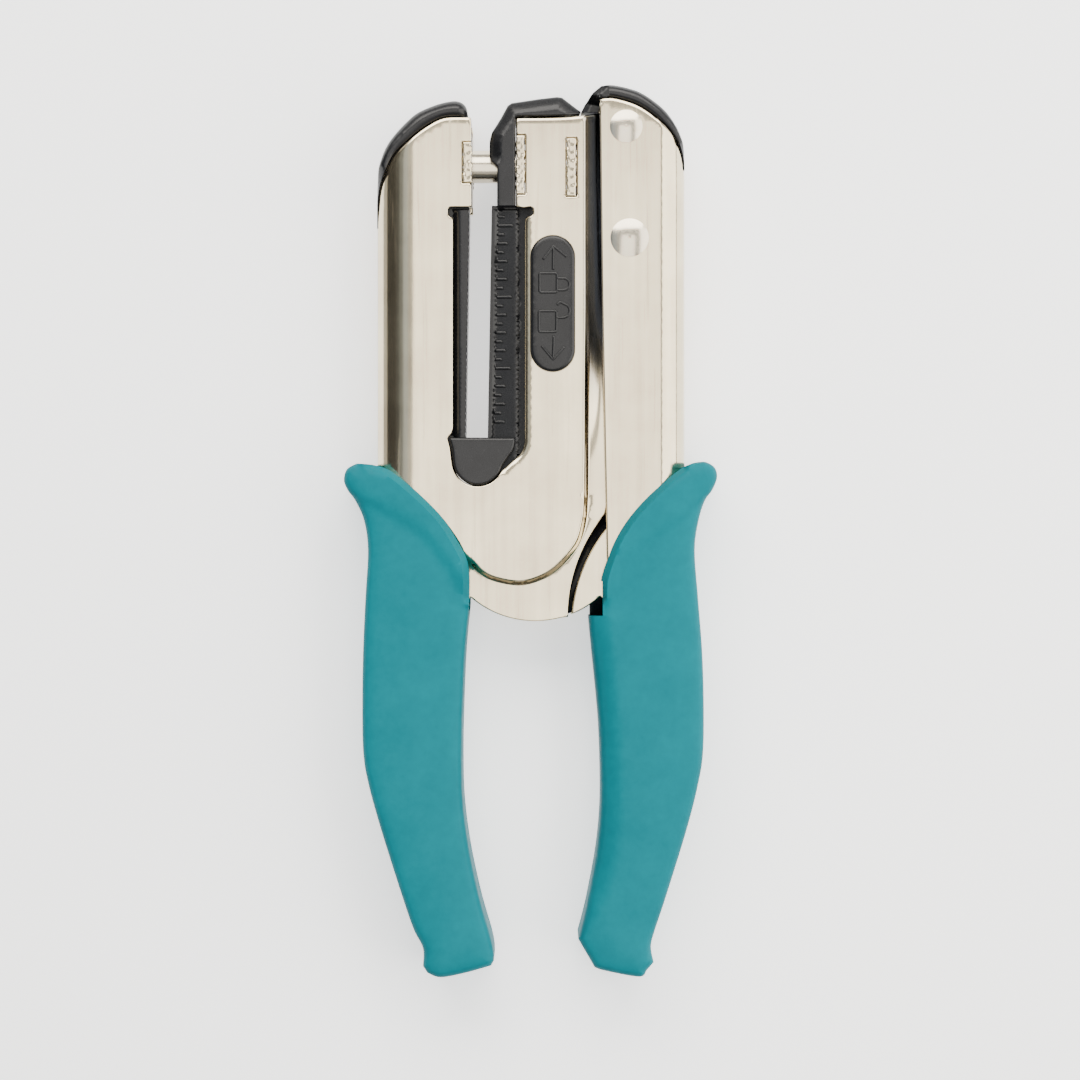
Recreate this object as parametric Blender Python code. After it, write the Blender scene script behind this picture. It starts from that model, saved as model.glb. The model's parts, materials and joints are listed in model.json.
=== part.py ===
"""Hand hole punch for paper craft, about 66 x 159 x 18 mm, lying on its back.

A folded stainless frame has two arms round a long throat. A folded lever swings on
the upper rivet; its lower rivet carries a roller that works in the slot of a plate
and pushes a round punch across the throat into a die. The numbers are millimetres,
+X to the lever's side, +Y to the jaws and +Z up, away from the surface it lies on.
"""
import math

import bmesh
import bpy
from mathutils import Matrix, Vector

MM = 0.001

# Thickness, counted from the middle plane, which lies half a grip above the surface.
GRIP_HALF = 9.0
PAN_HALF = 7.0
FLANGE_HALF = 5.0
CAP_HALF = 7.3
SHEET = 1.2
FIT = 0.35
PAN_INNER = PAN_HALF - SHEET
FLANGE_INNER = FLANGE_HALF - SHEET

# Plan of the frame.
FRAME_LEFT = -27.44
PAN_RIGHT = 9.86
FLANGE_RIGHT = 14.5
FOLD_RADIUS = 4.7
PAN_SLOPE = 0.9
BOTTOM_CENTRE = (0.8, 1.3)
BOTTOM_RADIUS = 17.5
HEEL_CENTRE = (35.4, -17.3)
HEEL_RADIUS = 28.2
HEEL_GAP = 1.2
TANG_END = -62.0

# Throat, its liner and the depth scale.
JAW_LEFT = -10.48
JAW_RIGHT = -2.58
WINDOW_LEFT = -13.8
WINDOW_RIGHT = -0.6
WINDOW_TOP = 57.45
NOTCH_LEFT = -14.65
NOTCH_RIGHT = 0.44
NOTCH_BOTTOM = 55.9
THROAT_LEFT = -11.2
THROAT_RIGHT = -6.95
THROAT_FLOOR = 16.6
BOSS_CENTRE = (-9.4, 12.5)
BOSS_RADIUS = 4.44
SCALE_RIGHT = -2.3
TICK_STEP = 25.4 / 16.0
TICK_ZERO = 53.9

# Punch, guides and die.
PUNCH_Y = 65.45
PUNCH_RADIUS = 2.95
PUNCH_TIP = -12.0
PUNCH_SHOULDER = 9.5
PUNCH_END = 14.5
TAIL_RADIUS = 2.4
BORE_RADIUS = PUNCH_RADIUS + FIT
DIE_X = (-12.0, -10.5)
FRONT_GUIDE_X = (-2.55, -1.15)
REAR_GUIDE_X = (6.4, 8.0)
PLATE_Y = (58.6, 71.0)
DIE_TAB_Y = (61.9, 68.9)
FRONT_TAB_Y = (59.9, 70.1)
REAR_TAB_Y = (59.5, 69.6)
CROSS_PIN_X = 12.2
CROSS_PIN_RADIUS = 1.0
PIN_FIT = 0.3

# Pivot, drive rivet and yoke.
PIVOT = (17.0, 71.8)
DRIVE = (17.6, 52.0)
PIVOT_SHANK = 2.0
DRIVE_SHANK = 1.5
PIVOT_HEAD = 2.9
DRIVE_HEAD = 3.4
EAR_RADIUS = 4.2
BUSH_RADIUS = 3.0
ROLLER_RADIUS = 2.5
YOKE_HALF = 1.2

# Lever.
LEVER_RIGHT = 27.6
LEVER_FOLD = 4.5

# Lock slider.
KNOB_CENTRE = (3.95, 40.3)
KNOB_SIZE = (8.0, 24.3)
KNOB_LIFT = 0.3
STEM_SIZE = (2.2, 9.0)
LOCK_SLOT_SIZE = (2.9, 13.0)
LOCK_STROKE = 3.0

# Opening spring: round wire between the bush and the flange.
SPRING_WIRE = 0.3
SPRING_RADIUS = 3.75
SPRING_TURNS = 1.75
SPRING_LOW = 1.6
SPRING_PITCH = 0.88


def clear_scene():
    for old in list(bpy.data.objects):
        bpy.data.objects.remove(old)


def material(name, colour, roughness, metallic):
    made = bpy.data.materials.new(name)
    made.use_nodes = True
    shader = made.node_tree.nodes["Principled BSDF"]
    shader.inputs["Base Color"].default_value = (*colour, 1.0)
    shader.inputs["Roughness"].default_value = roughness
    shader.inputs["Metallic"].default_value = metallic
    return made


# Outlines -----------------------------------------------------------------

def arc(centre, radius, start, end, steps):
    """Points on a circle from one angle to another, in degrees."""
    points = []
    for index in range(steps + 1):
        angle = math.radians(start + (end - start) * index / steps)
        points.append((centre[0] + radius * math.cos(angle), centre[1] + radius * math.sin(angle)))
    return points


def smooth(points, steps=3):
    """A Catmull-Rom curve through the points, ends included."""
    closed_ends = [points[0]] + list(points) + [points[-1]]
    curve = []
    for before, start, end, after in zip(closed_ends, closed_ends[1:], closed_ends[2:], closed_ends[3:]):
        for index in range(steps):
            t = index / steps
            curve.append(tuple(
                0.5 * (2.0 * b + (c - a) * t + (2.0 * a - 5.0 * b + 4.0 * c - d) * t ** 2
                       + (3.0 * b - a - 3.0 * c + d) * t ** 3)
                for a, b, c, d in zip(before, start, end, after)))
    curve.append(points[-1])
    return curve


def counter_clockwise(points):
    area = sum(a[0] * b[1] - b[0] * a[1] for a, b in zip(points, points[1:] + points[:1]))
    return points if area > 0.0 else points[::-1]


def offset(points, distance):
    """The outline moved outwards by a distance, with mitred corners."""
    points = counter_clockwise(list(points))
    moved = []
    for before, here, after in zip(points[-1:] + points[:-1], points, points[1:] + points[:1]):
        into = (Vector(here) - Vector(before)).normalized()
        out = (Vector(after) - Vector(here)).normalized()
        normal = Vector((into.y, -into.x)) + Vector((out.y, -out.x))
        scale = 2.0 / max(normal.length_squared, 0.8)
        moved.append((here[0] + normal.x * scale * distance, here[1] + normal.y * scale * distance))
    return moved


def stadium(centre, width, height, steps=8):
    """An upright oval with full round ends."""
    radius = width / 2.0
    reach = height / 2.0 - radius
    top = arc((centre[0], centre[1] + reach), radius, 0.0, 180.0, steps)
    bottom = arc((centre[0], centre[1] - reach), radius, 180.0, 360.0, steps)
    return top + bottom


def rectangle(left, bottom, right, top):
    return [(left, bottom), (right, bottom), (right, top), (left, top)]


# Solids -------------------------------------------------------------------

def finish_mesh(name, mesh_data, mat):
    bmesh.ops.recalc_face_normals(mesh_data, faces=mesh_data.faces)
    mesh = bpy.data.meshes.new(name)
    mesh_data.to_mesh(mesh)
    mesh_data.free()
    made = bpy.data.objects.new(name, mesh)
    bpy.context.scene.collection.objects.link(made)
    if mat is not None:
        mesh.materials.append(mat)
    return made


def loft(name, levels, mat=None):
    """A solid through outlines of equal length at rising heights from the middle plane."""
    shape = bmesh.new()
    rings = []
    for height, outline in levels:
        z = (GRIP_HALF + height) * MM
        rings.append([shape.verts.new((x * MM, y * MM, z)) for x, y in outline])
    count = len(rings[0])
    for low, high in zip(rings, rings[1:]):
        for index in range(count):
            following = (index + 1) % count
            shape.faces.new((low[index], low[following], high[following], high[index]))
    shape.faces.new(rings[0][::-1])
    shape.faces.new(rings[-1])
    return finish_mesh(name, shape, mat)


def prism(name, outline, low, high, mat=None):
    outline = counter_clockwise(list(outline))
    return loft(name, [(low, outline), (high, outline)], mat)


def bar(name, outline, low, high, axis, mat=None):
    """A prism along X or Y: the outline holds (y, z) or (x, z), z from the middle plane."""
    shape = bmesh.new()
    rings = []
    for along in (low, high):
        if axis == "X":
            ring = [(along, a, GRIP_HALF + z) for a, z in outline]
        else:
            ring = [(a, along, GRIP_HALF + z) for a, z in outline]
        rings.append([shape.verts.new(Vector(point) * MM) for point in ring])
    count = len(outline)
    for index in range(count):
        following = (index + 1) % count
        shape.faces.new((rings[0][index], rings[0][following], rings[1][following], rings[1][index]))
    shape.faces.new(rings[0])
    shape.faces.new(rings[1])
    return finish_mesh(name, shape, mat)


def turned(name, profile, place, axis="Z", mat=None, steps=32):
    """A solid of revolution; the profile holds (distance along the axis, radius)."""
    shape = bmesh.new()
    rings = []
    for along, radius in profile:
        if radius == 0.0:
            rings.append([shape.verts.new((0.0, 0.0, along * MM))])
            continue
        ring = []
        for index in range(steps):
            angle = 2.0 * math.pi * index / steps
            ring.append(shape.verts.new((radius * math.cos(angle) * MM, radius * math.sin(angle) * MM, along * MM)))
        rings.append(ring)
    for low, high in zip(rings, rings[1:]):
        for index in range(steps):
            following = (index + 1) % steps
            corners = [low[index % len(low)], low[following % len(low)],
                       high[following % len(high)], high[index % len(high)]]
            unique = list(dict.fromkeys(corners))
            shape.faces.new(unique)
    for end in (rings[0], rings[-1]):
        if len(end) > 1:
            shape.faces.new(end)
    made = finish_mesh(name, shape, mat)
    if axis == "X":
        made.rotation_euler = (0.0, math.pi / 2.0, 0.0)
    made.location = Vector((place[0], place[1], GRIP_HALF + place[2])) * MM
    return made


def ring(name, inner, outer, low, high, place, mat):
    """A bush or roller with a through bore."""
    made = turned(name, [(low, outer), (high, outer)], (place[0], place[1], 0.0), mat=mat)
    bore = turned("bore", [(low - 1.0, inner), (high + 1.0, inner)], (place[0], place[1], 0.0))
    return combine(made, "DIFFERENCE", bore)


def combine(target, operation, *others):
    """Apply Booleans of the other solids to the target, then remove them."""
    for other in others:
        step = target.modifiers.new(operation.title(), "BOOLEAN")
        step.operation = operation
        step.solver = "EXACT"
        step.object = other
        bpy.context.view_layer.update()
        graph = bpy.context.evaluated_depsgraph_get()
        mesh = bpy.data.meshes.new_from_object(target.evaluated_get(graph))
        target.modifiers.clear()
        target.data = mesh
        bpy.data.objects.remove(other)
    return target


def cut(target, *others):
    return combine(target, "DIFFERENCE", *others)


def round_off(made, angle=35.0):
    made.data.shade_smooth()
    made.data.set_sharp_from_angle(angle=math.radians(angle))
    return made


def hole(x, y, radius, low=-20.0, high=20.0):
    return turned("hole", [(low, radius), (high, radius)], (x, y, 0.0))


def punch_bore(radius, left, right):
    return turned("punch_bore", [(left, radius), (right, radius)], (0.0, PUNCH_Y, 0.0), axis="X")


# Frame --------------------------------------------------------------------

def pan_outline():
    """The raised part, left open far past the top and the left side."""
    bottom = smooth([
        (-24.0, 11.3), (-21.8, 10.0), (-17.6, 6.5), (-13.0, 0.9), (-10.8, -4.0), (-9.1, -6.8), (-6.5, -8.5),
        (-2.1, -9.2), (1.5, -8.4), (4.7, -6.6), (8.2, -2.6), (9.6, 1.5), (PAN_RIGHT, 5.4)])
    return [(-45.0, 95.0), (-45.0, 12.2), (-26.5, 12.2)] + bottom + [(PAN_RIGHT, 95.0)]


def left_arm_top():
    """Rounded shoulder of the die arm, from the side to the jaw."""
    return smooth([(FRAME_LEFT, 57.0), (-27.0, 60.6), (-26.0, 63.7), (-23.5, 67.8), (-19.4, 71.3),
                   (-16.7, 72.9), (-14.6, 73.5)], steps=2)


def tang_left():
    """Left side of the tang, down inside the left grip."""
    return smooth([(FRAME_LEFT, 12.0), (-26.6, 3.6), (-25.7, -3.5), (-26.1, -12.0), (-26.6, -30.0),
                   (-25.7, -44.0), (-23.4, -53.0), (-20.4, TANG_END)], steps=2)


def tang_right():
    """Right side of the tang, from its end up to the round bottom."""
    return smooth([(-12.6, TANG_END), (-14.2, -56.0), (-15.3, -48.0), (-15.2, -30.0), (-14.4, -16.0)], steps=2)


def heel_angle(radius, y):
    """Angle on the heel arc at a height, for the side facing the frame."""
    return 180.0 - math.degrees(math.asin((y - HEEL_CENTRE[1]) / radius))


def frame_outline():
    heel = HEEL_RADIUS + HEEL_GAP
    points = left_arm_top() + [(FRAME_LEFT + 18.0, 73.5), (PAN_RIGHT, 73.95), (12.2, 74.4)]
    points += arc(PIVOT, EAR_RADIUS, 135.0, -70.0, 14)
    points += [(FLANGE_RIGHT, 66.5), (FLANGE_RIGHT, 6.5)]
    points += arc(HEEL_CENTRE, heel, heel_angle(heel, 3.0), heel_angle(heel, -15.2), 8)
    points += arc(BOTTOM_CENTRE, BOTTOM_RADIUS, -75.0, -131.0, 10)
    points += tang_right()[::-1]
    points += tang_left()[::-1]
    return points


def fold_section(edge, radius, half, towards):
    """Section across the fold: square on the far side, rounded at the folded edge."""
    centre = edge + radius * towards
    start = 180.0 if towards > 0 else 0.0
    upper = arc((centre, half - radius), radius, start, 90.0, 6)
    lower = arc((centre, radius - half), radius, 270.0 if towards > 0 else -90.0,
                180.0 if towards > 0 else 0.0, 6)
    far = centre + 80.0 * towards
    return [(far, -half)] + lower + upper + [(far, half)]


def throat_window(grow):
    """Cut-out for the throat liner in each sheet."""
    outline = [(WINDOW_LEFT - grow, WINDOW_TOP + grow), (WINDOW_LEFT - grow, 15.4)]
    outline += arc((BOSS_CENTRE[0] - 0.2, BOSS_CENTRE[1]), BOSS_RADIUS + 0.2 + grow, 178.0, 290.0, 8)
    outline += [(-4.9 + grow, 11.1 - grow), (-1.9 + grow, 13.0 - grow), (WINDOW_RIGHT + grow, 15.4),
                (WINDOW_RIGHT + grow, WINDOW_TOP + grow)]
    return outline


def tab_slot(span, tab):
    return prism("tab_slot", rectangle(span[0] - FIT, tab[0] - FIT, span[1] + FIT, tab[1] + FIT), -20.0, 20.0)


def frame_shell(steel):
    pan = pan_outline()
    foot = offset(pan, PAN_SLOPE)
    outer = loft("frame_shell", [(-PAN_HALF, counter_clockwise(pan)), (-FLANGE_HALF + 0.1, foot),
                                 (FLANGE_HALF - 0.1, foot), (PAN_HALF, counter_clockwise(pan))], steel)
    combine(outer, "INTERSECT", prism("plan", frame_outline(), -PAN_HALF - 1.0, PAN_HALF + 1.0))
    combine(outer, "UNION", prism("flange", frame_outline(), -FLANGE_HALF, FLANGE_HALF))
    combine(outer, "INTERSECT", bar("fold", fold_section(FRAME_LEFT - 0.01, FOLD_RADIUS, PAN_HALF + 0.01, 1.0),
                                    -95.0, 95.0, "Y"))
    inner_top = offset(pan, -SHEET)
    inner_foot = offset(pan, PAN_SLOPE - SHEET)
    hollow = loft("hollow", [(-PAN_INNER, inner_top), (-FLANGE_INNER + 0.1, inner_foot),
                             (FLANGE_INNER - 0.1, inner_foot), (PAN_INNER, inner_top)])
    combine(hollow, "INTERSECT", bar("fold", fold_section(FRAME_LEFT + SHEET, FOLD_RADIUS - SHEET,
                                                          PAN_INNER + 0.01, 1.0), -95.0, 95.0, "Y"))
    tang_inside = [(x + SHEET, y) for x, y in tang_left()]
    tang_inside[-1] = (tang_inside[-1][0], TANG_END - 3.0)
    flange_inside = [(tang_inside[0][0] + 0.4, 95.0), (tang_inside[0][0] + 0.4, 14.0)] + tang_inside
    flange_inside += [(40.0, TANG_END - 3.0), (40.0, 95.0)]
    cut(outer, hollow, prism("between", flange_inside, -FLANGE_INNER, FLANGE_INNER))
    cut(outer,
        prism("jaw", rectangle(JAW_LEFT, 50.0, JAW_RIGHT, 95.0), -20.0, 20.0),
        prism("window", throat_window(0.0), -20.0, 20.0),
        prism("notch", rectangle(NOTCH_LEFT, NOTCH_BOTTOM, NOTCH_RIGHT, WINDOW_TOP), -20.0, 20.0),
        tab_slot((DIE_X[0], DIE_X[1] + 1.0), DIE_TAB_Y),
        tab_slot((FRONT_GUIDE_X[0] - 1.0, FRONT_GUIDE_X[1]), FRONT_TAB_Y),
        tab_slot(REAR_GUIDE_X, REAR_TAB_Y),
        prism("lock_slot", stadium((KNOB_CENTRE[0], KNOB_CENTRE[1] + LOCK_STROKE / 2.0), *LOCK_SLOT_SIZE), 0.0, 20.0),
        hole(PIVOT[0], PIVOT[1], PIVOT_SHANK + FIT))
    return round_off(outer, 25.0)


def punch_plate(name, span, tab, steel):
    """A plate across the arm with a bore for the punch and staked tabs in both sheets."""
    inside = PAN_INNER - FIT
    proud = PAN_HALF + 0.05
    plate = bar(name, rectangle(PLATE_Y[0], -inside, PLATE_Y[1], inside), span[0], span[1], "X", steel)
    tabs = bar("tabs", rectangle(tab[0], -proud, tab[1], proud), span[0], span[1], "X")
    combine(plate, "UNION", tabs)
    return round_off(cut(plate, punch_bore(BORE_RADIUS, span[0] - 2.0, span[1] + 2.0)))


def throat_liner(plastic):
    """Moulded lining of the throat: both walls, the stop at the bottom and the scale's seat."""
    liner = prism("throat_liner", throat_window(-FIT), -PAN_HALF + 0.2, PAN_HALF - 0.2, plastic)
    cut(liner, prism("throat", rectangle(THROAT_LEFT, THROAT_FLOOR, THROAT_RIGHT, 90.0), -20.0, 20.0))
    for side in (-1.0, 1.0):
        low, high = sorted((side * (PAN_HALF - 1.0), side * 20.0))
        seat = rectangle(THROAT_RIGHT - 1.0, THROAT_FLOOR, SCALE_RIGHT + FIT, 90.0)
        cut(liner, prism("scale_seat", seat, low, high))
    return liner


def depth_scale(name, side, plastic):
    """Strip with raised marks every sixteenth of an inch, long ones every half inch."""
    low, high = sorted((side * (PAN_HALF - 0.65), side * (PAN_HALF - 0.2)))
    strip = prism(name, rectangle(THROAT_RIGHT + 0.05, THROAT_FLOOR + 0.4, SCALE_RIGHT, 56.6), low, high, plastic)
    for index in range(23):
        y = TICK_ZERO - TICK_STEP * index
        reach = 2.9 if index % 8 == 0 else 2.0 if index % 2 == 0 else 1.2
        mark = rectangle(THROAT_RIGHT + 0.95, y - 0.22, THROAT_RIGHT + 0.95 + reach, y + 0.22)
        low, high = sorted((side * (PAN_HALF - 0.4), side * PAN_HALF))
        combine(strip, "UNION", prism("mark", mark, low, high))
    return strip


def die_arm_cap(plastic):
    outer = smooth([(-27.4, 60.8), (-27.35, 63.6), (-26.0, 68.0), (-24.4, 70.2), (-22.1, 72.8), (-20.0, 74.6),
                    (-16.7, 75.9), (-14.0, 76.5), (-12.3, 76.2), (-11.3, 75.0), (-10.9, 73.9)], steps=2)
    inner = offset(left_arm_top() + [(-11.0, 73.5), (-11.0, 40.0), (FRAME_LEFT, 40.0)], FIT)
    low = counter_clockwise(outer)
    cap = loft("die_arm_cap", [(-CAP_HALF, offset(low, -0.5)), (-CAP_HALF + 0.7, low),
                               (CAP_HALF - 0.7, low), (CAP_HALF, offset(low, -0.5))], plastic)
    cut(cap, prism("steel", inner, -20.0, 20.0))
    plug = smooth([(-24.6, 62.0), (-23.6, 65.6), (-19.4, 70.4), (-14.6, 74.0)], steps=2)
    plug += [(-13.2, 74.2), (-13.2, 67.0), (-18.0, 62.0)]
    return round_off(combine(cap, "UNION", prism("plug", plug, -4.0, 4.0)), 30.0)


def punch_arm_cap(plastic):
    """Cap on the punch arm; its leg lines the jaw and the punch passes through it."""
    outline = [(-5.9, 57.8), (-5.9, 65.0), (-7.25, 65.9), (-7.3, 69.2), (-6.8, 70.8), (-5.2, 73.5), (-3.7, 76.0),
               (1.6, 76.9), (5.0, 77.2), (6.1, 76.7), (9.0, 74.5), (8.8, 74.2), (-2.95, 73.75), (-2.95, 57.8)]
    low = counter_clockwise(outline)
    cap = loft("punch_arm_cap", [(-CAP_HALF, offset(low, -0.35)), (-CAP_HALF + 0.7, low),
                                 (CAP_HALF - 0.7, low), (CAP_HALF, offset(low, -0.35))], plastic)
    combine(cap, "UNION", prism("plug", rectangle(-0.8, 71.3, 5.8, 75.0), -PAN_INNER + FIT, PAN_INNER - FIT))
    return cut(cap, punch_bore(BORE_RADIUS, -9.0, -2.0),
               prism("nose_room", rectangle(7.3, 70.0, 10.0, 80.0), -3.9, 3.9))


# Punch --------------------------------------------------------------------

def punch_pin(steel):
    profile = [(PUNCH_TIP, PUNCH_RADIUS - 0.15), (PUNCH_TIP + 0.15, PUNCH_RADIUS), (PUNCH_SHOULDER, PUNCH_RADIUS),
               (PUNCH_SHOULDER, TAIL_RADIUS), (PUNCH_END - 0.3, TAIL_RADIUS), (PUNCH_END, TAIL_RADIUS - 0.3)]
    pin = turned("punch_pin", profile, (0.0, PUNCH_Y, 0.0), axis="X", mat=steel)
    fork = bar("fork", rectangle(60.0, -YOKE_HALF - 0.3, 70.0, YOKE_HALF + 0.3), PUNCH_SHOULDER + 0.5, 20.0, "X")
    tip = turned("tip_cup", [(PUNCH_TIP - 1.0, 2.3), (PUNCH_TIP + 0.6, 1.2)], (0.0, PUNCH_Y, 0.0), axis="X")
    return round_off(cut(pin, fork, tip, hole(CROSS_PIN_X, PUNCH_Y, CROSS_PIN_RADIUS + PIN_FIT)))


def drive_yoke(steel):
    """Slotted plate: the roller moves it sideways, and it carries the punch."""
    outline = [(10.4, 63.0), (13.2, 63.0), (13.2, 48.0), (14.2, 47.0), (21.0, 47.0), (22.0, 48.0), (22.0, 57.5),
               (20.2, 62.0), (20.2, 67.9), (10.4, 67.9)]
    yoke = prism("drive_yoke", outline, -YOKE_HALF, YOKE_HALF, steel)
    slot = stadium((DRIVE[0], DRIVE[1] + 0.5), 2.0 * (ROLLER_RADIUS + PIN_FIT), 6.9, 10)
    return round_off(cut(yoke, prism("slot", slot, -5.0, 5.0),
                         hole(CROSS_PIN_X, PUNCH_Y, CROSS_PIN_RADIUS + PIN_FIT)))


def cross_pin(steel):
    end = CROSS_PIN_RADIUS - 0.2
    profile = [(-2.2, end), (-2.0, CROSS_PIN_RADIUS), (2.0, CROSS_PIN_RADIUS), (2.2, end)]
    return round_off(turned("cross_pin", profile, (CROSS_PIN_X, PUNCH_Y, 0.0), mat=steel, steps=20))


# Lever --------------------------------------------------------------------

def lever_top():
    """Rounded shoulder of the lever, from its left edge to its side."""
    return smooth([(12.3, 76.7), (14.1, 77.0), (16.3, 76.6), (18.7, 75.8), (20.5, 74.8), (22.7, 73.2),
                   (24.6, 71.5), (26.0, 69.6), (27.1, 67.0), (LEVER_RIGHT, 63.0)], steps=2)


def lever_shell(steel):
    outline = lever_top() + [(LEVER_RIGHT, -9.0), (14.2, -9.0), (13.6, -5.0), (13.2, 14.0), (12.7, 41.0)]
    shell = prism("lever_shell", outline, -PAN_HALF, PAN_HALF, steel)
    combine(shell, "INTERSECT", bar("fold", fold_section(LEVER_RIGHT + 0.01, LEVER_FOLD, PAN_HALF + 0.01, -1.0),
                                    -95.0, 95.0, "Y"))
    inside = bar("inside", fold_section(LEVER_RIGHT - SHEET, LEVER_FOLD - SHEET, PAN_INNER, -1.0),
                 -95.0, 95.0, "Y")
    cut(shell, inside, hole(PIVOT[0], PIVOT[1], PIVOT_SHANK + FIT), hole(DRIVE[0], DRIVE[1], DRIVE_SHANK + FIT))
    return round_off(shell, 25.0)


def lever_tang_outline():
    """Tooth that completes the round bottom, and the tang down inside the right grip."""
    points = [(24.8, 8.0), (15.3, 8.0), (15.3, 5.0)]
    points += arc(HEEL_CENTRE, HEEL_RADIUS, heel_angle(HEEL_RADIUS, 2.2), heel_angle(HEEL_RADIUS, -14.3), 8)
    points += arc(BOTTOM_CENTRE, BOTTOM_RADIUS, -68.5, -51.0, 4)
    points += smooth([(13.6, -15.4), (14.8, -30.0), (15.6, -48.0), (14.6, -57.0), (13.6, TANG_END)], steps=2)
    points += smooth([(21.2, TANG_END), (24.3, -53.0), (26.2, -44.0), (26.6, -30.0), (24.8, -9.0)], steps=2)
    return points


def lever_tang(steel):
    tang = prism("lever_tang", lever_tang_outline(), -FLANGE_HALF, FLANGE_HALF, steel)
    back = smooth([(19.6, TANG_END - 3.0), (22.6, -54.0), (24.8, -44.0), (25.2, -30.0), (23.6, -9.0),
                   (23.6, 8.0), (23.6, 30.0)], steps=2)
    inside = [(-5.0, 30.0), (-5.0, TANG_END - 3.0)] + back
    return cut(tang, prism("inside", inside, -FLANGE_INNER, FLANGE_INNER))


def lever_cap(plastic):
    """Cap on the lever's shoulder; its thin nose fills the notch beside the punch arm."""
    outer = smooth([(12.3, 79.1), (14.8, 79.4), (17.1, 78.9), (19.5, 78.1), (21.9, 76.6), (24.0, 74.8),
                    (25.5, 72.8), (26.6, 70.7), (27.5, 67.8)], steps=2)
    outer += [(20.0, 60.0), (12.3, 60.0)]
    low = counter_clockwise(outer)
    cap = loft("lever_cap", [(-CAP_HALF, offset(low, -0.5)), (-CAP_HALF + 0.7, low),
                             (CAP_HALF - 0.7, low), (CAP_HALF, offset(low, -0.5))], plastic)
    steel = offset(lever_top() + [(LEVER_RIGHT, 40.0), (-5.0, 40.0), (-5.0, 76.7)], FIT)
    cut(cap, prism("steel", steel, -20.0, 20.0))
    nose = [(9.1, 74.8), (9.8, 76.2), (11.3, 78.0), (12.7, 79.1), (14.0, 79.0), (14.0, 77.2), (12.6, 76.0),
            (12.4, 74.8)]
    combine(cap, "UNION", prism("nose", nose, -3.4, 3.4))
    return round_off(cap, 30.0)


def rivet(name, place, shank, head, steel):
    """Domed heads outside both lever panels on one shank."""
    rise = 0.85
    base = PAN_HALF + 0.3
    half = [(base, shank), (base, head), (base + 0.25, head)]
    for index in range(1, 5):
        angle = math.radians(90.0 * index / 4)
        half.append((base + 0.25 + rise * math.sin(angle), head * math.cos(angle) if index < 4 else 0.0))
    profile = [(-along, radius) for along, radius in half[::-1]] + half
    return round_off(turned(name, profile, (place[0], place[1], 0.0), mat=steel), 30.0)


def opening_spring(steel):
    """Torsion spring round the pivot bush: under two turns of round wire and two short legs."""
    x, y = PIVOT
    route = [Vector((x - 3.9, y + SPRING_RADIUS, SPRING_LOW)), Vector((x - 1.5, y + SPRING_RADIUS, SPRING_LOW))]
    steps = 36
    for index in range(steps + 1):
        turn = SPRING_TURNS * index / steps
        angle = math.radians(90.0 - 360.0 * turn)
        route.append(Vector((x + SPRING_RADIUS * math.cos(angle), y + SPRING_RADIUS * math.sin(angle),
                             SPRING_LOW + SPRING_PITCH * turn)))
    route.append(Vector((x - SPRING_RADIUS, y + 1.4, SPRING_LOW + SPRING_PITCH * SPRING_TURNS)))
    return wire_solid("opening_spring", route, SPRING_WIRE, steel)


def wire_solid(name, route, radius, mat):
    """A round wire of eight sides along a route."""
    shape = bmesh.new()
    rings = []
    up = Vector((0.0, 0.0, 1.0))
    for index, point in enumerate(route):
        before = route[max(index - 1, 0)]
        after = route[min(index + 1, len(route) - 1)]
        along = (after - before).normalized()
        side = along.cross(up).normalized()
        rise = side.cross(along)
        ring_points = []
        for corner in range(8):
            angle = math.radians(45.0 * corner)
            place = point + (side * math.cos(angle) + rise * math.sin(angle)) * radius
            ring_points.append(shape.verts.new(Vector((place.x, place.y, place.z + GRIP_HALF)) * MM))
        rings.append(ring_points)
    for low, high in zip(rings, rings[1:]):
        for corner in range(8):
            following = (corner + 1) % 8
            shape.faces.new((low[corner], low[following], high[following], high[corner]))
    shape.faces.new(rings[0])
    shape.faces.new(rings[-1])
    return round_off(finish_mesh(name, shape, mat))


# Lock ---------------------------------------------------------------------

def lock_knob(plastic):
    outline = counter_clockwise(stadium(KNOB_CENTRE, *KNOB_SIZE, steps=14))
    low = PAN_HALF + KNOB_LIFT
    knob = loft("lock_knob", [(low, outline), (low + 0.7, outline), (low + 1.1, offset(outline, -0.4))], plastic)
    stem = prism("stem", stadium(KNOB_CENTRE, *STEM_SIZE), 3.7, low + 0.5)
    combine(knob, "UNION", stem)
    return round_off(cut(knob, hole(KNOB_CENTRE[0], KNOB_CENTRE[1], 0.8 - 0.05, 2.0, 6.6)), 30.0)


def lock_bar(steel):
    """Plate inside the frame that the knob moves; its hook reaches below the drive rivet."""
    outline = [(0.5, 34.5), (7.5, 34.5), (7.5, 40.2), (22.4, 40.2), (22.4, 47.1), (20.4, 47.1), (20.4, 43.6),
               (7.5, 43.6), (7.5, 45.5), (0.5, 45.5)]
    plate = prism("lock_bar", outline, 1.8, 3.3, steel)
    return cut(plate, hole(KNOB_CENTRE[0], KNOB_CENTRE[1], 0.5 + FIT))


def lock_screw(steel):
    profile = [(0.6, 1.4), (0.8, 1.6), (1.5, 1.6), (1.5, 0.45), (6.2, 0.45)]
    screw = turned("lock_screw", profile, (*KNOB_CENTRE, 0.0), mat=steel, steps=20)
    return round_off(screw)


def lock_detent_spring(steel):
    """Bowed leaf between the lock bar and the front sheet."""
    upper = smooth([(34.5, 5.35), (37.5, 5.25), (40.0, 4.2), (42.5, 5.25), (45.5, 5.35)], steps=3)
    lower = [(y, z - 0.4) for y, z in upper]
    return round_off(bar("lock_detent_spring", upper + lower[::-1], 6.0, 7.4, "X", steel))


# Grips --------------------------------------------------------------------

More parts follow.
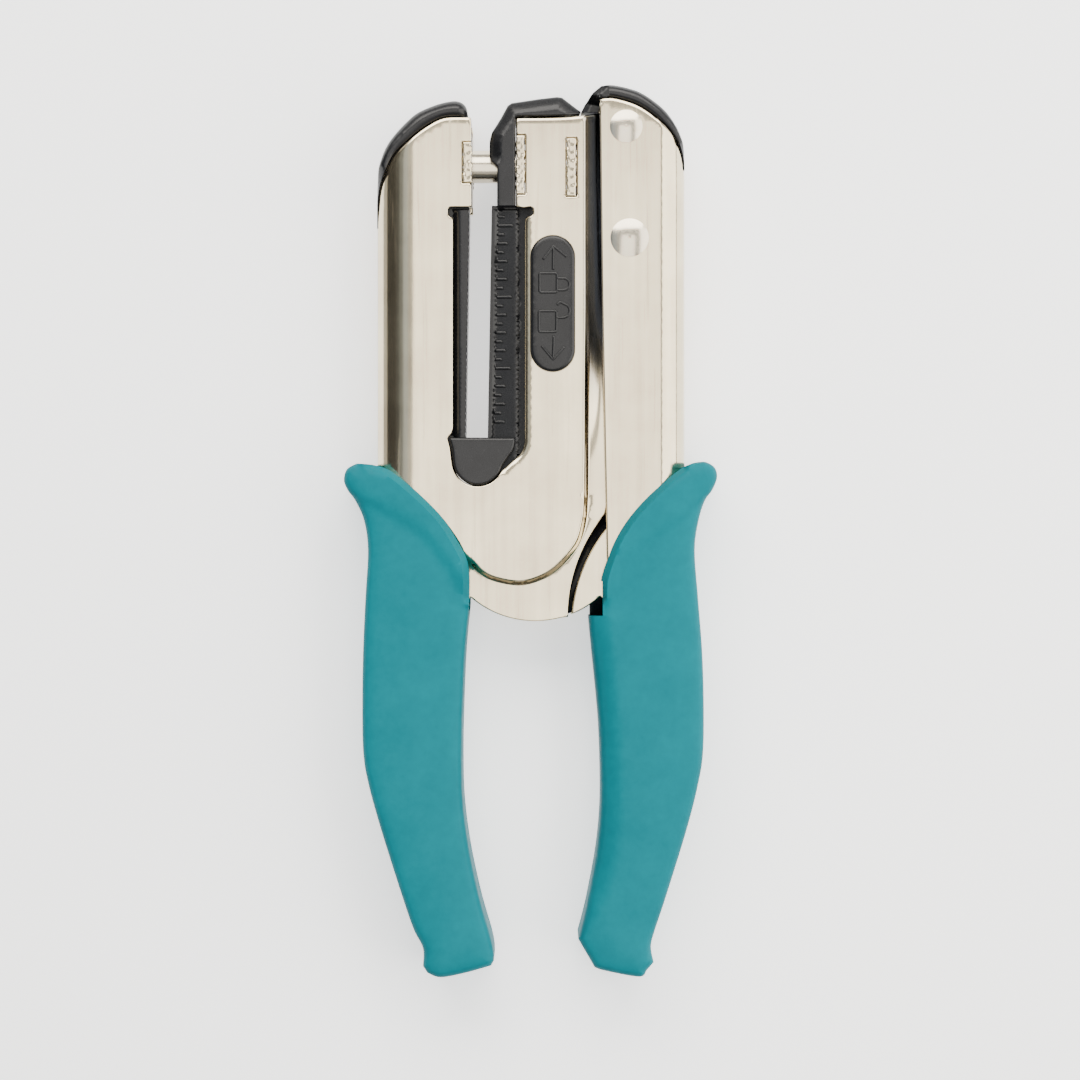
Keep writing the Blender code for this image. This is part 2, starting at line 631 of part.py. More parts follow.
def sleeve(name, outline, rubber):
    """A soft handle sleeve with rounded edges and a flat middle on both faces."""
    outline = counter_clockwise(outline)
    half = []
    for drop, inset in ((0.0, 1.5), (0.45, 0.75), (1.4, 0.2), (2.6, 0.0)):
        half.append((GRIP_HALF - drop, offset(outline, -inset)))
    levels = [(-height, ring_points) for height, ring_points in half] + half[::-1]
    return loft(name, levels, rubber)


def left_grip_outline():
    outer = smooth([(-30.9, 11.9), (-32.6, 10.9), (-33.15, 9.0), (-32.4, 7.2), (-31.2, 5.4), (-29.4, 1.6),
                    (-28.9, -3.5), (-29.4, -12.0), (-29.8, -21.0), (-29.9, -30.0), (-29.7, -39.0), (-28.8, -45.0),
                    (-26.6, -53.0), (-22.6, -65.6), (-20.6, -71.0), (-19.2, -74.3), (-19.2, -77.4)], steps=2)
    foot = smooth([(-17.8, -79.0), (-15.5, -79.4), (-12.0, -78.7), (-9.0, -77.9), (-7.0, -77.2)], steps=2)
    inner = smooth([(-6.5, -75.5), (-7.0, -72.7), (-9.0, -65.6), (-10.9, -56.7), (-12.0, -48.0), (-12.2, -39.0),
                    (-12.0, -30.0), (-11.6, -21.0), (-10.9, -13.0), (-10.9, -8.0), (-11.6, -4.5), (-13.05, -1.7),
                    (-15.4, 1.8), (-18.8, 5.4), (-22.9, 9.0), (-25.6, 11.0), (-28.2, 11.6)], steps=2)
    return outer + foot + inner


def left_grip(rubber):
    grip = sleeve("left_grip", left_grip_outline(), rubber)
    return round_off(cut(grip, prism("tang", offset(frame_outline(), FIT), -FLANGE_HALF - FIT, FLANGE_HALF + FIT)))


def right_grip_outline():
    outer = smooth([(28.9, 12.0), (31.0, 12.2), (32.7, 11.2), (33.15, 9.4), (32.2, 7.2), (31.0, 5.4), (29.7, 1.6),
                    (29.2, -3.5), (29.8, -12.0), (30.5, -21.0), (30.8, -30.0), (30.6, -39.0), (29.9, -44.5),
                    (27.8, -53.0), (23.9, -65.6), (22.0, -71.0), (21.3, -74.0), (21.7, -76.8)], steps=2)
    foot = smooth([(20.4, -78.7), (18.5, -79.3), (13.2, -78.1), (10.7, -77.2), (8.9, -75.2)], steps=2)
    inner = smooth([(8.5, -72.4), (9.5, -69.0), (10.2, -65.6), (11.8, -56.7), (12.5, -48.0), (12.3, -37.0),
                    (11.8, -30.0), (10.9, -21.0), (10.4, -15.2)], steps=2)
    mouth = smooth([(12.7, -12.0), (12.9, -8.6), (13.9, -5.2), (15.2, -1.9), (17.3, 1.6), (20.3, 5.1),
                    (24.2, 8.8), (26.6, 10.6)], steps=2)
    return outer + foot + inner + mouth


def right_grip(rubber):
    grip = sleeve("right_grip", right_grip_outline(), rubber)
    channel = [(LEVER_RIGHT, 40.0), (LEVER_RIGHT, -9.0), (13.5, -9.0), (12.0, 40.0)]
    return round_off(cut(
        grip,
        prism("tang", offset(lever_tang_outline(), FIT), -FLANGE_HALF - FIT, FLANGE_HALF + FIT),
        prism("channel", offset(channel, FIT), -PAN_HALF - FIT, PAN_HALF + FIT)))


# Assembly -----------------------------------------------------------------

def carrier(name, x, y, pieces):
    """An empty on a joint's axis that carries the pieces that move with it."""
    empty = bpy.data.objects.new(name, None)
    bpy.context.scene.collection.objects.link(empty)
    empty.location = Vector((x, y, GRIP_HALF)) * MM
    inverse = Matrix.Translation(empty.location).inverted()
    for piece in pieces:
        piece.parent = empty
        piece.matrix_parent_inverse = inverse


def build():
    clear_scene()
    steel = material("stainless_sheet", (0.62, 0.59, 0.54), 0.32, 1.0)
    bright = material("bright_steel", (0.70, 0.69, 0.67), 0.22, 1.0)
    dark = material("plate_steel", (0.48, 0.48, 0.47), 0.4, 1.0)
    plastic = material("charcoal_plastic", (0.06, 0.06, 0.065), 0.5, 0.0)
    rubber = material("teal_rubber", (0.015, 0.42, 0.50), 0.55, 0.0)

    frame_shell(steel)
    punch_plate("die_plate", DIE_X, DIE_TAB_Y, dark)
    punch_plate("front_guide", FRONT_GUIDE_X, FRONT_TAB_Y, dark)
    punch_plate("rear_guide", REAR_GUIDE_X, REAR_TAB_Y, dark)
    throat_liner(plastic)
    depth_scale("depth_scale_front", 1.0, plastic)
    depth_scale("depth_scale_back", -1.0, plastic)
    die_arm_cap(plastic)
    punch_arm_cap(plastic)
    left_grip(rubber)
    ring("pivot_bush", PIVOT_SHANK + FIT, BUSH_RADIUS, -FLANGE_INNER + 0.3, FLANGE_INNER - 0.3, PIVOT, bright)
    lock_detent_spring(bright)

    carrier("lever_axis", *PIVOT, [
        lever_shell(steel),
        lever_tang(steel),
        lever_cap(plastic),
        right_grip(rubber),
        rivet("pivot_rivet", PIVOT, PIVOT_SHANK, PIVOT_HEAD, bright),
        rivet("drive_rivet", DRIVE, DRIVE_SHANK, DRIVE_HEAD, bright),
        ring("drive_roller", DRIVE_SHANK + 0.3, ROLLER_RADIUS, -YOKE_HALF, YOKE_HALF, DRIVE, bright),
        opening_spring(bright),
    ])
    carrier("punch_axis", 0.0, PUNCH_Y, [punch_pin(bright), drive_yoke(dark), cross_pin(bright)])
    carrier("lock_axis", *KNOB_CENTRE, [lock_knob(plastic), lock_bar(dark), lock_screw(bright)])


build()
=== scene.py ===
import json
import math

import bmesh
import bpy
import numpy as np
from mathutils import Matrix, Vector
from mathutils.geometry import delaunay_2d_cdt


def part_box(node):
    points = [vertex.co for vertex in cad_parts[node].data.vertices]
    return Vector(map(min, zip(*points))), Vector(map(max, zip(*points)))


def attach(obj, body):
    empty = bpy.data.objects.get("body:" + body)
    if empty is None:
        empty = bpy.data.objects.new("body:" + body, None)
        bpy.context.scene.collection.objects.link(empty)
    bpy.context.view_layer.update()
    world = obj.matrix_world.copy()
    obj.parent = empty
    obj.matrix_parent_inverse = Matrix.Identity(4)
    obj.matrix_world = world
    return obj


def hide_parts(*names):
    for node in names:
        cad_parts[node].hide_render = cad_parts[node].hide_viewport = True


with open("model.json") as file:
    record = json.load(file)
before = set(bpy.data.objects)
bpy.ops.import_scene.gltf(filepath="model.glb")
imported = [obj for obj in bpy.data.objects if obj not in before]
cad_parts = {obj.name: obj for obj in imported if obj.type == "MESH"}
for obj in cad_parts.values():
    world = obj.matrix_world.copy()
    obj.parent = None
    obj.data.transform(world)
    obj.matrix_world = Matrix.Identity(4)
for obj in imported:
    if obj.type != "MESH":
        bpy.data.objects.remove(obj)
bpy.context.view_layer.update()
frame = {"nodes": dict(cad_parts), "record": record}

# The hand hole punch lies on its back. Lengths are millimetres, and heights are
# counted from the middle plane between the two sheets of the frame.
MM = 0.001


def middle_of(node, axis):
    """The middle of a node's box along an axis."""
    low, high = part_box(node)
    return (low[axis] + high[axis]) / 2.0 / MM


MIDDLE = middle_of("frame_shell", 2)
GRIP_HALF = (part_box("left_grip")[1][2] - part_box("left_grip")[0][2]) / 2.0 / MM
PAN_HALF = 7.0
FLANGE_HALF = 5.0
CAP_HALF = 7.3
SHEET = 1.2
SHEET_RIM = 0.28
GRID_ROW = 0.866

JOINTS = {joint["name"]: joint for joint in frame["record"]["behaviour"]["joints"]}
PIVOT = [value / MM for value in JOINTS["lever_hinge"]["pos_m"][:2]]
PUNCH_Y = JOINTS["punch_slide"]["pos_m"][1] / MM
KNOB = [value / MM for value in JOINTS["lock_slide"]["pos_m"][:2]]
DRIVE = [middle_of("drive_rivet", axis) for axis in (0, 1)]

# Folds are (width across the face, depth); round edges are (centre, radius).
FRAME_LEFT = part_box("frame_shell")[0][0] / MM
LEVER_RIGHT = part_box("lever_shell")[1][0] / MM
LEVER_CREASE = 22.4
TOOTH_RIGHT = 24.8
STEP_RIGHT = 9.86 + 0.2
FLANGE_RIGHT = 14.5
FRAME_FOLD = (7.6, 4.7)
LEVER_FOLD = (5.0, 5.0)
BOTTOM = ((0.8, 1.3), 17.5)
HEEL = ((35.4, -17.3), 28.2)
FRAME_HEEL = ((35.4, -15.44), 28.7)

# The jaws, the throat window and the seat of the depth scale.
JAW_LEFT = -10.48
JAW_RIGHT = -2.58
JAW_FLOOR = 57.45
WINDOW_LEFT = -13.75
WINDOW_RIGHT = -1.13
WINDOW_TOP = 55.2
STOP_CENTRE = (-9.4, 12.5)
SEAT_TILT = 0.18
SEAT_RIGHT = -2.4
SEAT_HALF = 5.9

# The peened ends of the plates: left, right, low and high.
TABS = {
    "die": (-12.0, -10.5, 61.8, 69.0),
    "front": (-2.55, -1.15, 59.8, 70.2),
    "rear": (6.4, 8.0, 59.4, 69.7),
}


# Outlines -----------------------------------------------------------------

def arc(centre, radius, start, end, steps):
    angles = np.radians(np.linspace(start, end, steps + 1))
    return [(centre[0] + radius * math.cos(a), centre[1] + radius * math.sin(a)) for a in angles]


def smooth(points, steps=6):
    """A Catmull-Rom curve through the points, ends included."""
    run = [points[0]] + list(points) + [points[-1]]
    curve = []
    for before, start, end, after in zip(run, run[1:], run[2:], run[3:]):
        for index in range(steps):
            t = index / steps
            curve.append(tuple(
                0.5 * (2.0 * b + (c - a) * t + (2.0 * a - 5.0 * b + 4.0 * c - d) * t ** 2
                       + (3.0 * b - a - 3.0 * c + d) * t ** 3)
                for a, b, c, d in zip(before, start, end, after)))
    curve.append(tuple(points[-1]))
    return curve


def stadium(centre, width, height, steps):
    """An upright oval with full round ends."""
    radius = width / 2.0
    reach = height / 2.0 - radius
    top = arc((centre[0], centre[1] + reach), radius, 0.0, 180.0, steps)
    return top + arc((centre[0], centre[1] - reach), radius, 180.0, 360.0, steps)


def rectangle(left, bottom, right, top):
    return [(left, bottom), (right, bottom), (right, top), (left, top)]


def notch(edge, deep, start, end):
    """Three sides of a slot cut into an upright edge between two heights."""
    return [(edge, start), (deep, start), (deep, end), (edge, end)]


def counter_clockwise(points):
    area = sum(a[0] * b[1] - b[0] * a[1] for a, b in zip(points, points[1:] + points[:1]))
    return list(points) if area > 0.0 else list(points)[::-1]


def resample(points, step, closed=True):
    """Points at most a step apart along an outline, its corners kept."""
    points = np.array(points, dtype=float)
    ends = np.roll(points, -1, axis=0) if closed else points[1:]
    fine = []
    for start, end in zip(points, ends):
        count = max(1, int(math.ceil(np.linalg.norm(end - start) / step)))
        fine.extend(start + (end - start) * index / count for index in range(count))
    if not closed:
        fine.append(points[-1])
    return np.array(fine)


def distance(places, line, closed=False):
    """Distance from each place to a line of points."""
    line = np.array(line, dtype=float)
    starts = line if closed else line[:-1]
    ends = np.roll(line, -1, axis=0) if closed else line[1:]
    best = np.full(len(places), np.inf)
    for start, end in zip(starts, ends):
        along = end - start
        length = max(float(along @ along), 1e-12)
        t = np.clip(((places - start) @ along) / length, 0.0, 1.0)
        best = np.minimum(best, np.linalg.norm(places - start - t[:, None] * along, axis=1))
    return best


def inside(places, outline):
    outline = np.array(outline, dtype=float)
    within = np.zeros(len(places), dtype=bool)
    for (x0, y0), (x1, y1) in zip(outline, np.roll(outline, -1, axis=0)):
        if y0 == y1:
            continue
        crosses = (y0 > places[:, 1]) != (y1 > places[:, 1])
        reach = x0 + (places[:, 1] - y0) * (x1 - x0) / (y1 - y0)
        within ^= crosses & (places[:, 0] < reach)
    return within


def ramp(values, low, high):
    """0 below low, 1 above high, with a smooth run between."""
    t = np.clip((np.asarray(values, dtype=float) - low) / (high - low), 0.0, 1.0)
    return t * t * (3.0 - 2.0 * t)


def nearness(away, reach):
    """1 at no distance, falling to 0 at the reach."""
    return np.clip(1.0 - away / reach, 0.0, 1.0)


def level_at(half):
    """The same height everywhere."""
    return lambda places: np.full(len(places), half)


def minus(height):
    return lambda places: -height(places)


# Meshes -------------------------------------------------------------------

def beside(line, offset, closed=True):
    """A row of points at an offset to the left of a line."""
    if closed:
        along = np.roll(line, -1, axis=0) - np.roll(line, 1, axis=0)
    else:
        along = np.gradient(line, axis=0)
    along /= np.maximum(np.linalg.norm(along, axis=1), 1e-9)[:, None]
    return line + offset * np.column_stack([-along[:, 1], along[:, 0]])


def triangulate(outline, holes, spacing, bands, edge_step, guides=()):
    """Triangles over an outline: rows of points follow its edges and guides, a grid fills the rest.

    Bands are distances from the edges. A guide is a line and the offsets of its rows.
    """
    outline = counter_clockwise(list(map(tuple, outline)))
    loops = [resample(outline, edge_step)] + [resample(hole, edge_step) for hole in holes]
    low = loops[0].min(axis=0)
    high = loops[0].max(axis=0)
    rows = []
    for index, y in enumerate(np.arange(low[1], high[1], spacing * GRID_ROW)):
        xs = np.arange(low[0] + (index % 2) * spacing / 2.0, high[0], spacing)
        rows.append(np.column_stack([xs, np.full(len(xs), y)]))
    grid = np.vstack(rows)

    candidates = []
    margins = []
    for band in bands:
        for loop in loops:
            for sign in (-1.0, 1.0):
                candidates.append(beside(loop, sign * band))
                margins.append(np.full(len(loop), band * 0.93))
    widest = max(bands)
    for line, offsets in guides:
        line = resample(line, edge_step, closed=False)
        for offset in offsets:
            candidates.append(beside(line, offset, closed=False))
            margins.append(np.full(len(line), widest + 0.08))
        reach = (max(offsets) - min(offsets)) / 2.0
        middle_line = beside(line, (max(offsets) + min(offsets)) / 2.0, closed=False)
        grid = grid[distance(grid, middle_line) > reach + spacing * 0.4]
    candidates = np.vstack(candidates + [grid])
    margins = np.concatenate(margins + [np.full(len(grid), widest + spacing * 0.45)])
    keep = inside(candidates, loops[0])
    for hole in loops[1:]:
        keep &= ~inside(candidates, hole)
    for loop in loops:
        keep &= distance(candidates, loop, closed=True) > margins
    flat = np.vstack(loops + [candidates[keep]])
    edges = []
    start = 0
    for loop in loops:
        count = len(loop)
        edges.extend((start + index, start + (index + 1) % count) for index in range(count))
        start += count
    result = delaunay_2d_cdt([Vector(p) for p in flat], edges, [], 0, 1e-5, False)
    places = np.array([tuple(v) for v in result[0]])
    faces = np.array([face for face in result[2] if len(face) == 3])
    centres = places[faces].mean(axis=1)
    keep = inside(centres, loops[0])
    for hole in loops[1:]:
        keep &= ~inside(centres, hole)
    from_edge = np.min([distance(places, loop, closed=True) for loop in loops], axis=0)
    return places, faces[keep], from_edge


def open_edges(faces):
    """Edges used by one triangle only, in that triangle's direction."""
    used = {(int(a), int(b)) for face in faces for a, b in zip(face, np.roll(face, -1))}
    return [(a, b) for a, b in used if (b, a) not in used]


def rolled(away, radius):
    """Drop of a rounded edge at a distance from it."""
    gap = np.clip(radius - away, 0.0, radius)
    return radius - np.sqrt(np.maximum(radius ** 2 - gap ** 2, 0.0))


def sheet_solid(name, base, faces, from_edge):
    """Gives a surface the sheet's thickness, with rounded rims. The base is the outer side."""
    corners = base[faces]
    turned_out = np.cross(corners[:, 1] - corners[:, 0], corners[:, 2] - corners[:, 0])
    normals = np.zeros_like(base)
    for corner in range(3):
        np.add.at(normals, faces[:, corner], turned_out)
    normals /= np.maximum(np.linalg.norm(normals, axis=1), 1e-12)[:, None]
    drop = rolled(from_edge, SHEET_RIM)[:, None]
    count = len(base)
    vertices = np.vstack([base - normals * drop, base - normals * (SHEET - drop)])
    solid = [tuple(face) for face in faces] + [tuple(face[::-1] + count) for face in faces]
    solid += [(b, a, a + count, b + count) for a, b in open_edges(faces)]
    return new_piece(name, vertices, solid, STEEL)


def new_piece(name, vertices, faces, mat):
    """An object of a mesh in millimetres, smooth shaded."""
    mesh = bpy.data.meshes.new(name)
    mesh.from_pydata([Vector(v) * MM for v in vertices], [], [list(map(int, face)) for face in faces])
    mesh.validate()
    shape = bmesh.new()
    shape.from_mesh(mesh)
    bmesh.ops.delete(shape, geom=[v for v in shape.verts if not v.link_faces], context="VERTS")
    bmesh.ops.recalc_face_normals(shape, faces=shape.faces)
    shape.to_mesh(mesh)
    shape.free()
    mesh.materials.append(mat)
    mesh.shade_smooth()
    piece = bpy.data.objects.new(name, mesh)
    bpy.context.scene.collection.objects.link(piece)
    return piece


def pillow(name, outline, top, bottom, mat, spacing, bands, edge_step, rows):
    """A closed solid between two height functions over an outline."""
    places, faces, _ = triangulate(outline, (), spacing, bands, edge_step)
    count = len(places)
    upper = np.column_stack([places, MIDDLE + top(places)])
    lower = np.column_stack([places, MIDDLE + bottom(places)])
    vertices = [tuple(v) for v in upper] + [tuple(v) for v in lower]
    solid = [tuple(face) for face in faces] + [tuple(face[::-1] + count) for face in faces]
    rim = open_edges(faces)
    ladder = {}
    for a, _ in rim:
        rungs = [a]
        for row in range(1, rows):
            t = row / rows
            vertices.append(tuple(upper[a] * (1.0 - t) + lower[a] * t))
            rungs.append(len(vertices) - 1)
        ladder[a] = rungs + [a + count]
    for a, b in rim:
        for row in range(rows):
            solid.append((ladder[b][row], ladder[a][row], ladder[a][row + 1], ladder[b][row + 1]))
    return new_piece(name, vertices, solid, mat)


def crease(piece, width, angle):
    """Rounds the sharp edges of a piece and evens out its shading."""
    step = piece.modifiers.new("round_edges", "BEVEL")
    step.width = width * MM
    step.segments = 2
    step.limit_method = "ANGLE"
    step.angle_limit = math.radians(angle)
    step.use_clamp_overlap = True
    weigh = piece.modifiers.new("even_normals", "WEIGHTED_NORMAL")
    weigh.weight = 80
    weigh.keep_sharp = True
    return piece


def sharpen(piece, angle):
    """Shades the edges past an angle sharp."""
    piece.data.set_sharp_from_angle(angle=math.radians(angle))


def settle(piece):
    """Applies a piece's modifiers to its mesh."""
    bpy.context.view_layer.update()
    graph = bpy.context.evaluated_depsgraph_get()
    mesh = bpy.data.meshes.new_from_object(piece.evaluated_get(graph))
    piece.modifiers.clear()
    piece.data = mesh
    return piece


def combine(target, operation, *others):
    for other in others:
        step = target.modifiers.new(operation.lower(), "BOOLEAN")
        step.operation = operation
        step.solver = "EXACT"
        step.object = other
        settle(target)
        bpy.data.objects.remove(other)
    return target


def block(name, first, second, mat):
    """A straight-sided solid between two rings of the same number of corners."""
    count = len(first)
    faces = [list(range(count))[::-1], list(range(count, 2 * count))]
    faces += [[i, (i + 1) % count, (i + 1) % count + count, i + count] for i in range(count)]
    return new_piece(name, first + second, faces, mat)


def prism(name, outline, low, high, mat):
    """An upright block over an outline, between two heights from the middle plane."""
    outline = counter_clockwise(outline)
    rings = [[(x, y, MIDDLE + level) for x, y in outline] for level in (low, high)]
    return block(name, *rings, mat)


def turned(name, profile, place, mat, along_x=False, steps=64):
    """A solid of revolution; the profile holds (distance along the axis, radius)."""
    vertices = []
    rings = []
    for along, radius in profile:
        ring = []
        for index in range(1 if radius == 0.0 else steps):
            angle = 2.0 * math.pi * index / steps
            across = (radius * math.cos(angle), radius * math.sin(angle))
            point = (along, across[0], across[1]) if along_x else (across[0], across[1], along)
            vertices.append((place[0] + point[0], place[1] + point[1], MIDDLE + point[2]))
            ring.append(len(vertices) - 1)
        rings.append(ring)
    faces = []
    for low, high in zip(rings, rings[1:]):
        for index in range(steps):
            following = (index + 1) % steps
            corners = [low[index % len(low)], low[following % len(low)],
                       high[following % len(high)], high[index % len(high)]]
            faces.append(list(dict.fromkeys(corners)))
    for end in (rings[0], rings[-1]):
        if len(end) > 1:
            faces.append(end)
    return new_piece(name, vertices, faces, mat)


def bead(path, width, height, base, closed=False):
    """A raised line with a rounded section along a flat path: its vertices and faces."""
    sides = 7
    root = 0.15
    path = np.array(path, dtype=float)
    if closed:
        along = np.roll(path, -1, axis=0) - np.roll(path, 1, axis=0)
    else:
        along = np.gradient(path, axis=0)
    along /= np.linalg.norm(along, axis=1)[:, None]
    normal = np.column_stack([-along[:, 1], along[:, 0]])
    vertices = []
    for place, across in zip(path, normal):
        for side in range(sides):
            angle = math.pi * side / (sides - 1)
            x, y = place + across * math.cos(angle) * width / 2.0
            vertices.append((x, y, base + math.sin(angle) * height))
        x, y = place
        vertices.append((x, y, base - root))
    ring = sides + 1
    count = len(path)
    faces = []
    for index in range(count if closed else count - 1):
        following = (index + 1) % count
        for side in range(ring):
            nearby = (side + 1) % ring
            faces.append((index * ring + side, index * ring + nearby,
                          following * ring + nearby, following * ring + side))
    if not closed:
        faces.append(tuple(range(ring)))
        faces.append(tuple((count - 1) * ring + side for side in range(ring))[::-1])
    return vertices, faces


def beads(name, lines, mat):
    """One piece from several raised lines."""
    vertices = []
    faces = []
    for line_vertices, line_faces in lines:
        start = len(vertices)
        vertices.extend((x, y, MIDDLE + z) for x, y, z in line_vertices)
        faces.extend(tuple(start + index for index in face) for face in line_faces)
    return new_piece(name, vertices, faces, mat)


# Materials ----------------------------------------------------------------

class Paint:
    """A Principled material with helpers that add texture nodes to it."""

    def __init__(self, name, metallic, roughness, **settings):
        self.material = bpy.data.materials.new(name)
        self.material.use_nodes = True
        self.nodes = self.material.node_tree.nodes
        self.links = self.material.node_tree.links
        self.shader = self.nodes["Principled BSDF"]
        self.shader.inputs["Metallic"].default_value = metallic
        self.shader.inputs["Roughness"].default_value = roughness
        for key, value in settings.items():
            self.shader.inputs[key.replace("_", " ")].default_value = value
        self.place = self.nodes.new("ShaderNodeTexCoord")

    def mapped(self, scale, turn=(0.0, 0.0, 0.0)):
        mapping = self.nodes.new("ShaderNodeMapping")
        mapping.inputs["Scale"].default_value = scale
        mapping.inputs["Rotation"].default_value = turn
        self.links.new(self.place.outputs["Object"], mapping.inputs["Vector"])
        return mapping.outputs["Vector"]

    def noise(self, scale, detail=4.0, roughness=0.55, vector=None):
        texture = self.nodes.new("ShaderNodeTexNoise")
        texture.inputs["Scale"].default_value = scale
        texture.inputs["Detail"].default_value = detail
        texture.inputs["Roughness"].default_value = roughness
        self.links.new(vector or self.place.outputs["Object"], texture.inputs["Vector"])
        return texture.outputs["Fac"]

    def attribute(self, name):
        node = self.nodes.new("ShaderNodeAttribute")
        node.attribute_name = name
        return node.outputs["Fac"]

    def blend(self, factor, stops):
        """A colour ramp: stops are (place, colour or grey)."""
        ramp_node = self.nodes.new("ShaderNodeValToRGB")
        elements = ramp_node.color_ramp.elements
        while len(elements) < len(stops):
            elements.new(0.5)
        for element, (place, colour) in zip(elements, stops):
            element.position = place
            element.color = (*colour, 1.0) if isinstance(colour, tuple) else (colour, colour, colour, 1.0)
        self.links.new(factor, ramp_node.inputs["Fac"])
        return ramp_node.outputs["Color"]

    def mix(self, first, second, factor, mode="MIX"):
        node = self.nodes.new("ShaderNodeMix")
        node.data_type = "RGBA"
        node.blend_type = mode
        if isinstance(factor, float):
            node.inputs["Factor"].default_value = factor
        else:
            self.links.new(factor, node.inputs["Factor"])
        self.links.new(first, node.inputs["A"])
        self.links.new(second, node.inputs["B"])
        return node.outputs["Result"]

    def colour(self, output):
        self.links.new(output, self.shader.inputs["Base Color"])

    def roughness(self, output):
        self.links.new(output, self.shader.inputs["Roughness"])

    def bump(self, *layers):
        """Layers are (height output, strength, depth in millimetres)."""
        normal = None
        for height, strength, depth in layers:
            node = self.nodes.new("ShaderNodeBump")
            node.inputs["Strength"].default_value = strength
            node.inputs["Distance"].default_value = depth * MM
            self.links.new(height, node.inputs["Height"])
            if normal is not None:
                self.links.new(normal, node.inputs["Normal"])
            normal = node.outputs["Normal"]
        self.links.new(normal, self.shader.inputs["Normal"])


def sheet_steel():
    """Satin stainless sheet with fine lengthwise brushing, faint stains and scratches."""
    paint = Paint("stainless_sheet_look", 1.0, 0.3)
    grain = paint.noise(1.0, 3.0, 0.6, paint.mapped((5200.0, 90.0, 5200.0)))
    coarse = paint.noise(1.0, 2.0, 0.5, paint.mapped((900.0, 26.0, 900.0), (0.0, 0.0, 0.03)))
    stain = paint.noise(75.0, 5.0, 0.6)
    scratch = paint.noise(1.0, 1.0, 0.5, paint.mapped((1400.0, 45.0, 1400.0), (0.0, 0.0, 0.35)))
    warm = paint.blend(stain, [(0.3, (0.63, 0.54, 0.38)), (0.7, (0.81, 0.71, 0.50))])
    streak = paint.blend(coarse, [(0.3, 0.87), (0.7, 1.0)])
    clean = paint.mix(warm, streak, 1.0, "MULTIPLY")
    # Painted shade: where a sheet carries the groove's shade attribute, the colour turns to a dark
    # blue-grey that stands for the groove's shadow and dark reflection.
    groove_shade_colour = paint.blend(coarse, [(0.35, (0.05, 0.072, 0.125)), (0.65, (0.09, 0.13, 0.225))])
    paint.colour(paint.mix(clean, groove_shade_colour, paint.attribute("painted_groove_shade")))
    marks = paint.blend(scratch, [(0.64, 0.0), (0.72, 1.0)])
    satin = paint.blend(grain, [(0.25, 0.09), (0.75, 0.15)])
    rough = paint.blend(stain, [(0.35, 0.0), (0.75, 0.05)])
    paint.roughness(paint.mix(paint.mix(satin, rough, 1.0, "ADD"), marks, 0.12, "ADD"))
    paint.bump((grain, 0.12, 0.006), (stain, 0.05, 0.03), (marks, 0.2, 0.004))
    return paint.material


def bright_steel():
    """Turned steel: light, with fine rings and small handling marks."""
    paint = Paint("bright_steel_look", 1.0, 0.25)
    fine = paint.noise(2600.0, 3.0)
    broad = paint.noise(210.0, 3.0)
    paint.colour(paint.blend(broad, [(0.3, (0.60, 0.54, 0.42)), (0.7, (0.68, 0.61, 0.49))]))
    paint.roughness(paint.blend(fine, [(0.3, 0.14), (0.7, 0.22)]))
    paint.bump((fine, 0.05, 0.002), (broad, 0.1, 0.01))
    return paint.material


def plate_steel():
    """Stamped plate, duller, with a rolled grain."""
    paint = Paint("plate_steel_look", 1.0, 0.4)
    grain = paint.noise(1.0, 4.0, 0.6, paint.mapped((900.0, 3200.0, 900.0)))
    paint.colour(paint.blend(grain, [(0.3, (0.56, 0.53, 0.48)), (0.7, (0.68, 0.65, 0.60))]))
    paint.roughness(paint.blend(grain, [(0.3, 0.34), (0.7, 0.5)]))
    paint.bump((grain, 0.3, 0.01))
    return paint.material


def charcoal_plastic():
    """Moulded plastic with a fine spark-eroded grain and faint dust."""
    paint = Paint("charcoal_plastic_look", 0.0, 0.3, IOR=1.4)
    fine = paint.noise(5200.0, 3.0, 0.6)
    broad = paint.noise(260.0, 4.0, 0.6)
    speck = paint.noise(1500.0, 2.0)
    body = paint.blend(broad, [(0.3, (0.003, 0.0033, 0.0043)), (0.75, (0.006, 0.0064, 0.0078))])
    dust = paint.blend(speck, [(0.62, (0.0, 0.0, 0.0)), (0.8, (0.008, 0.008, 0.009))])
    paint.colour(paint.mix(body, dust, 1.0, "ADD"))
    paint.roughness(paint.blend(fine, [(0.3, 0.25), (0.7, 0.36)]))
    paint.bump((fine, 0.3, 0.012), (broad, 0.12, 0.02))
    return paint.material


def teal_rubber():
    """Soft grip: teal, satin, a little cloudy, with a very fine matt grain."""
    paint = Paint("teal_rubber_look", 0.0, 0.55, IOR=1.4, Specular_IOR_Level=0.1)
    cloud = paint.noise(120.0, 5.0, 0.65)
    mottle = paint.noise(700.0, 3.0, 0.6)
    fine = paint.noise(4200.0, 3.0, 0.6)
    body = paint.blend(cloud, [(0.25, (0.0, 0.117, 0.145)), (0.75, (0.0, 0.143, 0.175))])
    dots = paint.blend(mottle, [(0.3, 0.93), (0.65, 1.0)])
    paint.colour(paint.mix(body, dots, 1.0, "MULTIPLY"))
    paint.roughness(paint.blend(mottle, [(0.3, 0.44), (0.7, 0.58)]))
    paint.bump((fine, 0.25, 0.015), (mottle, 0.12, 0.03))
    return paint.material


STEEL = sheet_steel()
BRIGHT = bright_steel()
PLATE = plate_steel()
PLASTIC = charcoal_plastic()
RUBBER = teal_rubber()


def place(piece, body, mat, *nodes):
    """Tells the frame what a piece rides on and what it stands for; its finish is not used."""
    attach(piece, body)
    if nodes:
        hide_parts(*nodes)
    return piece


# Folded sheets ------------------------------------------------------------

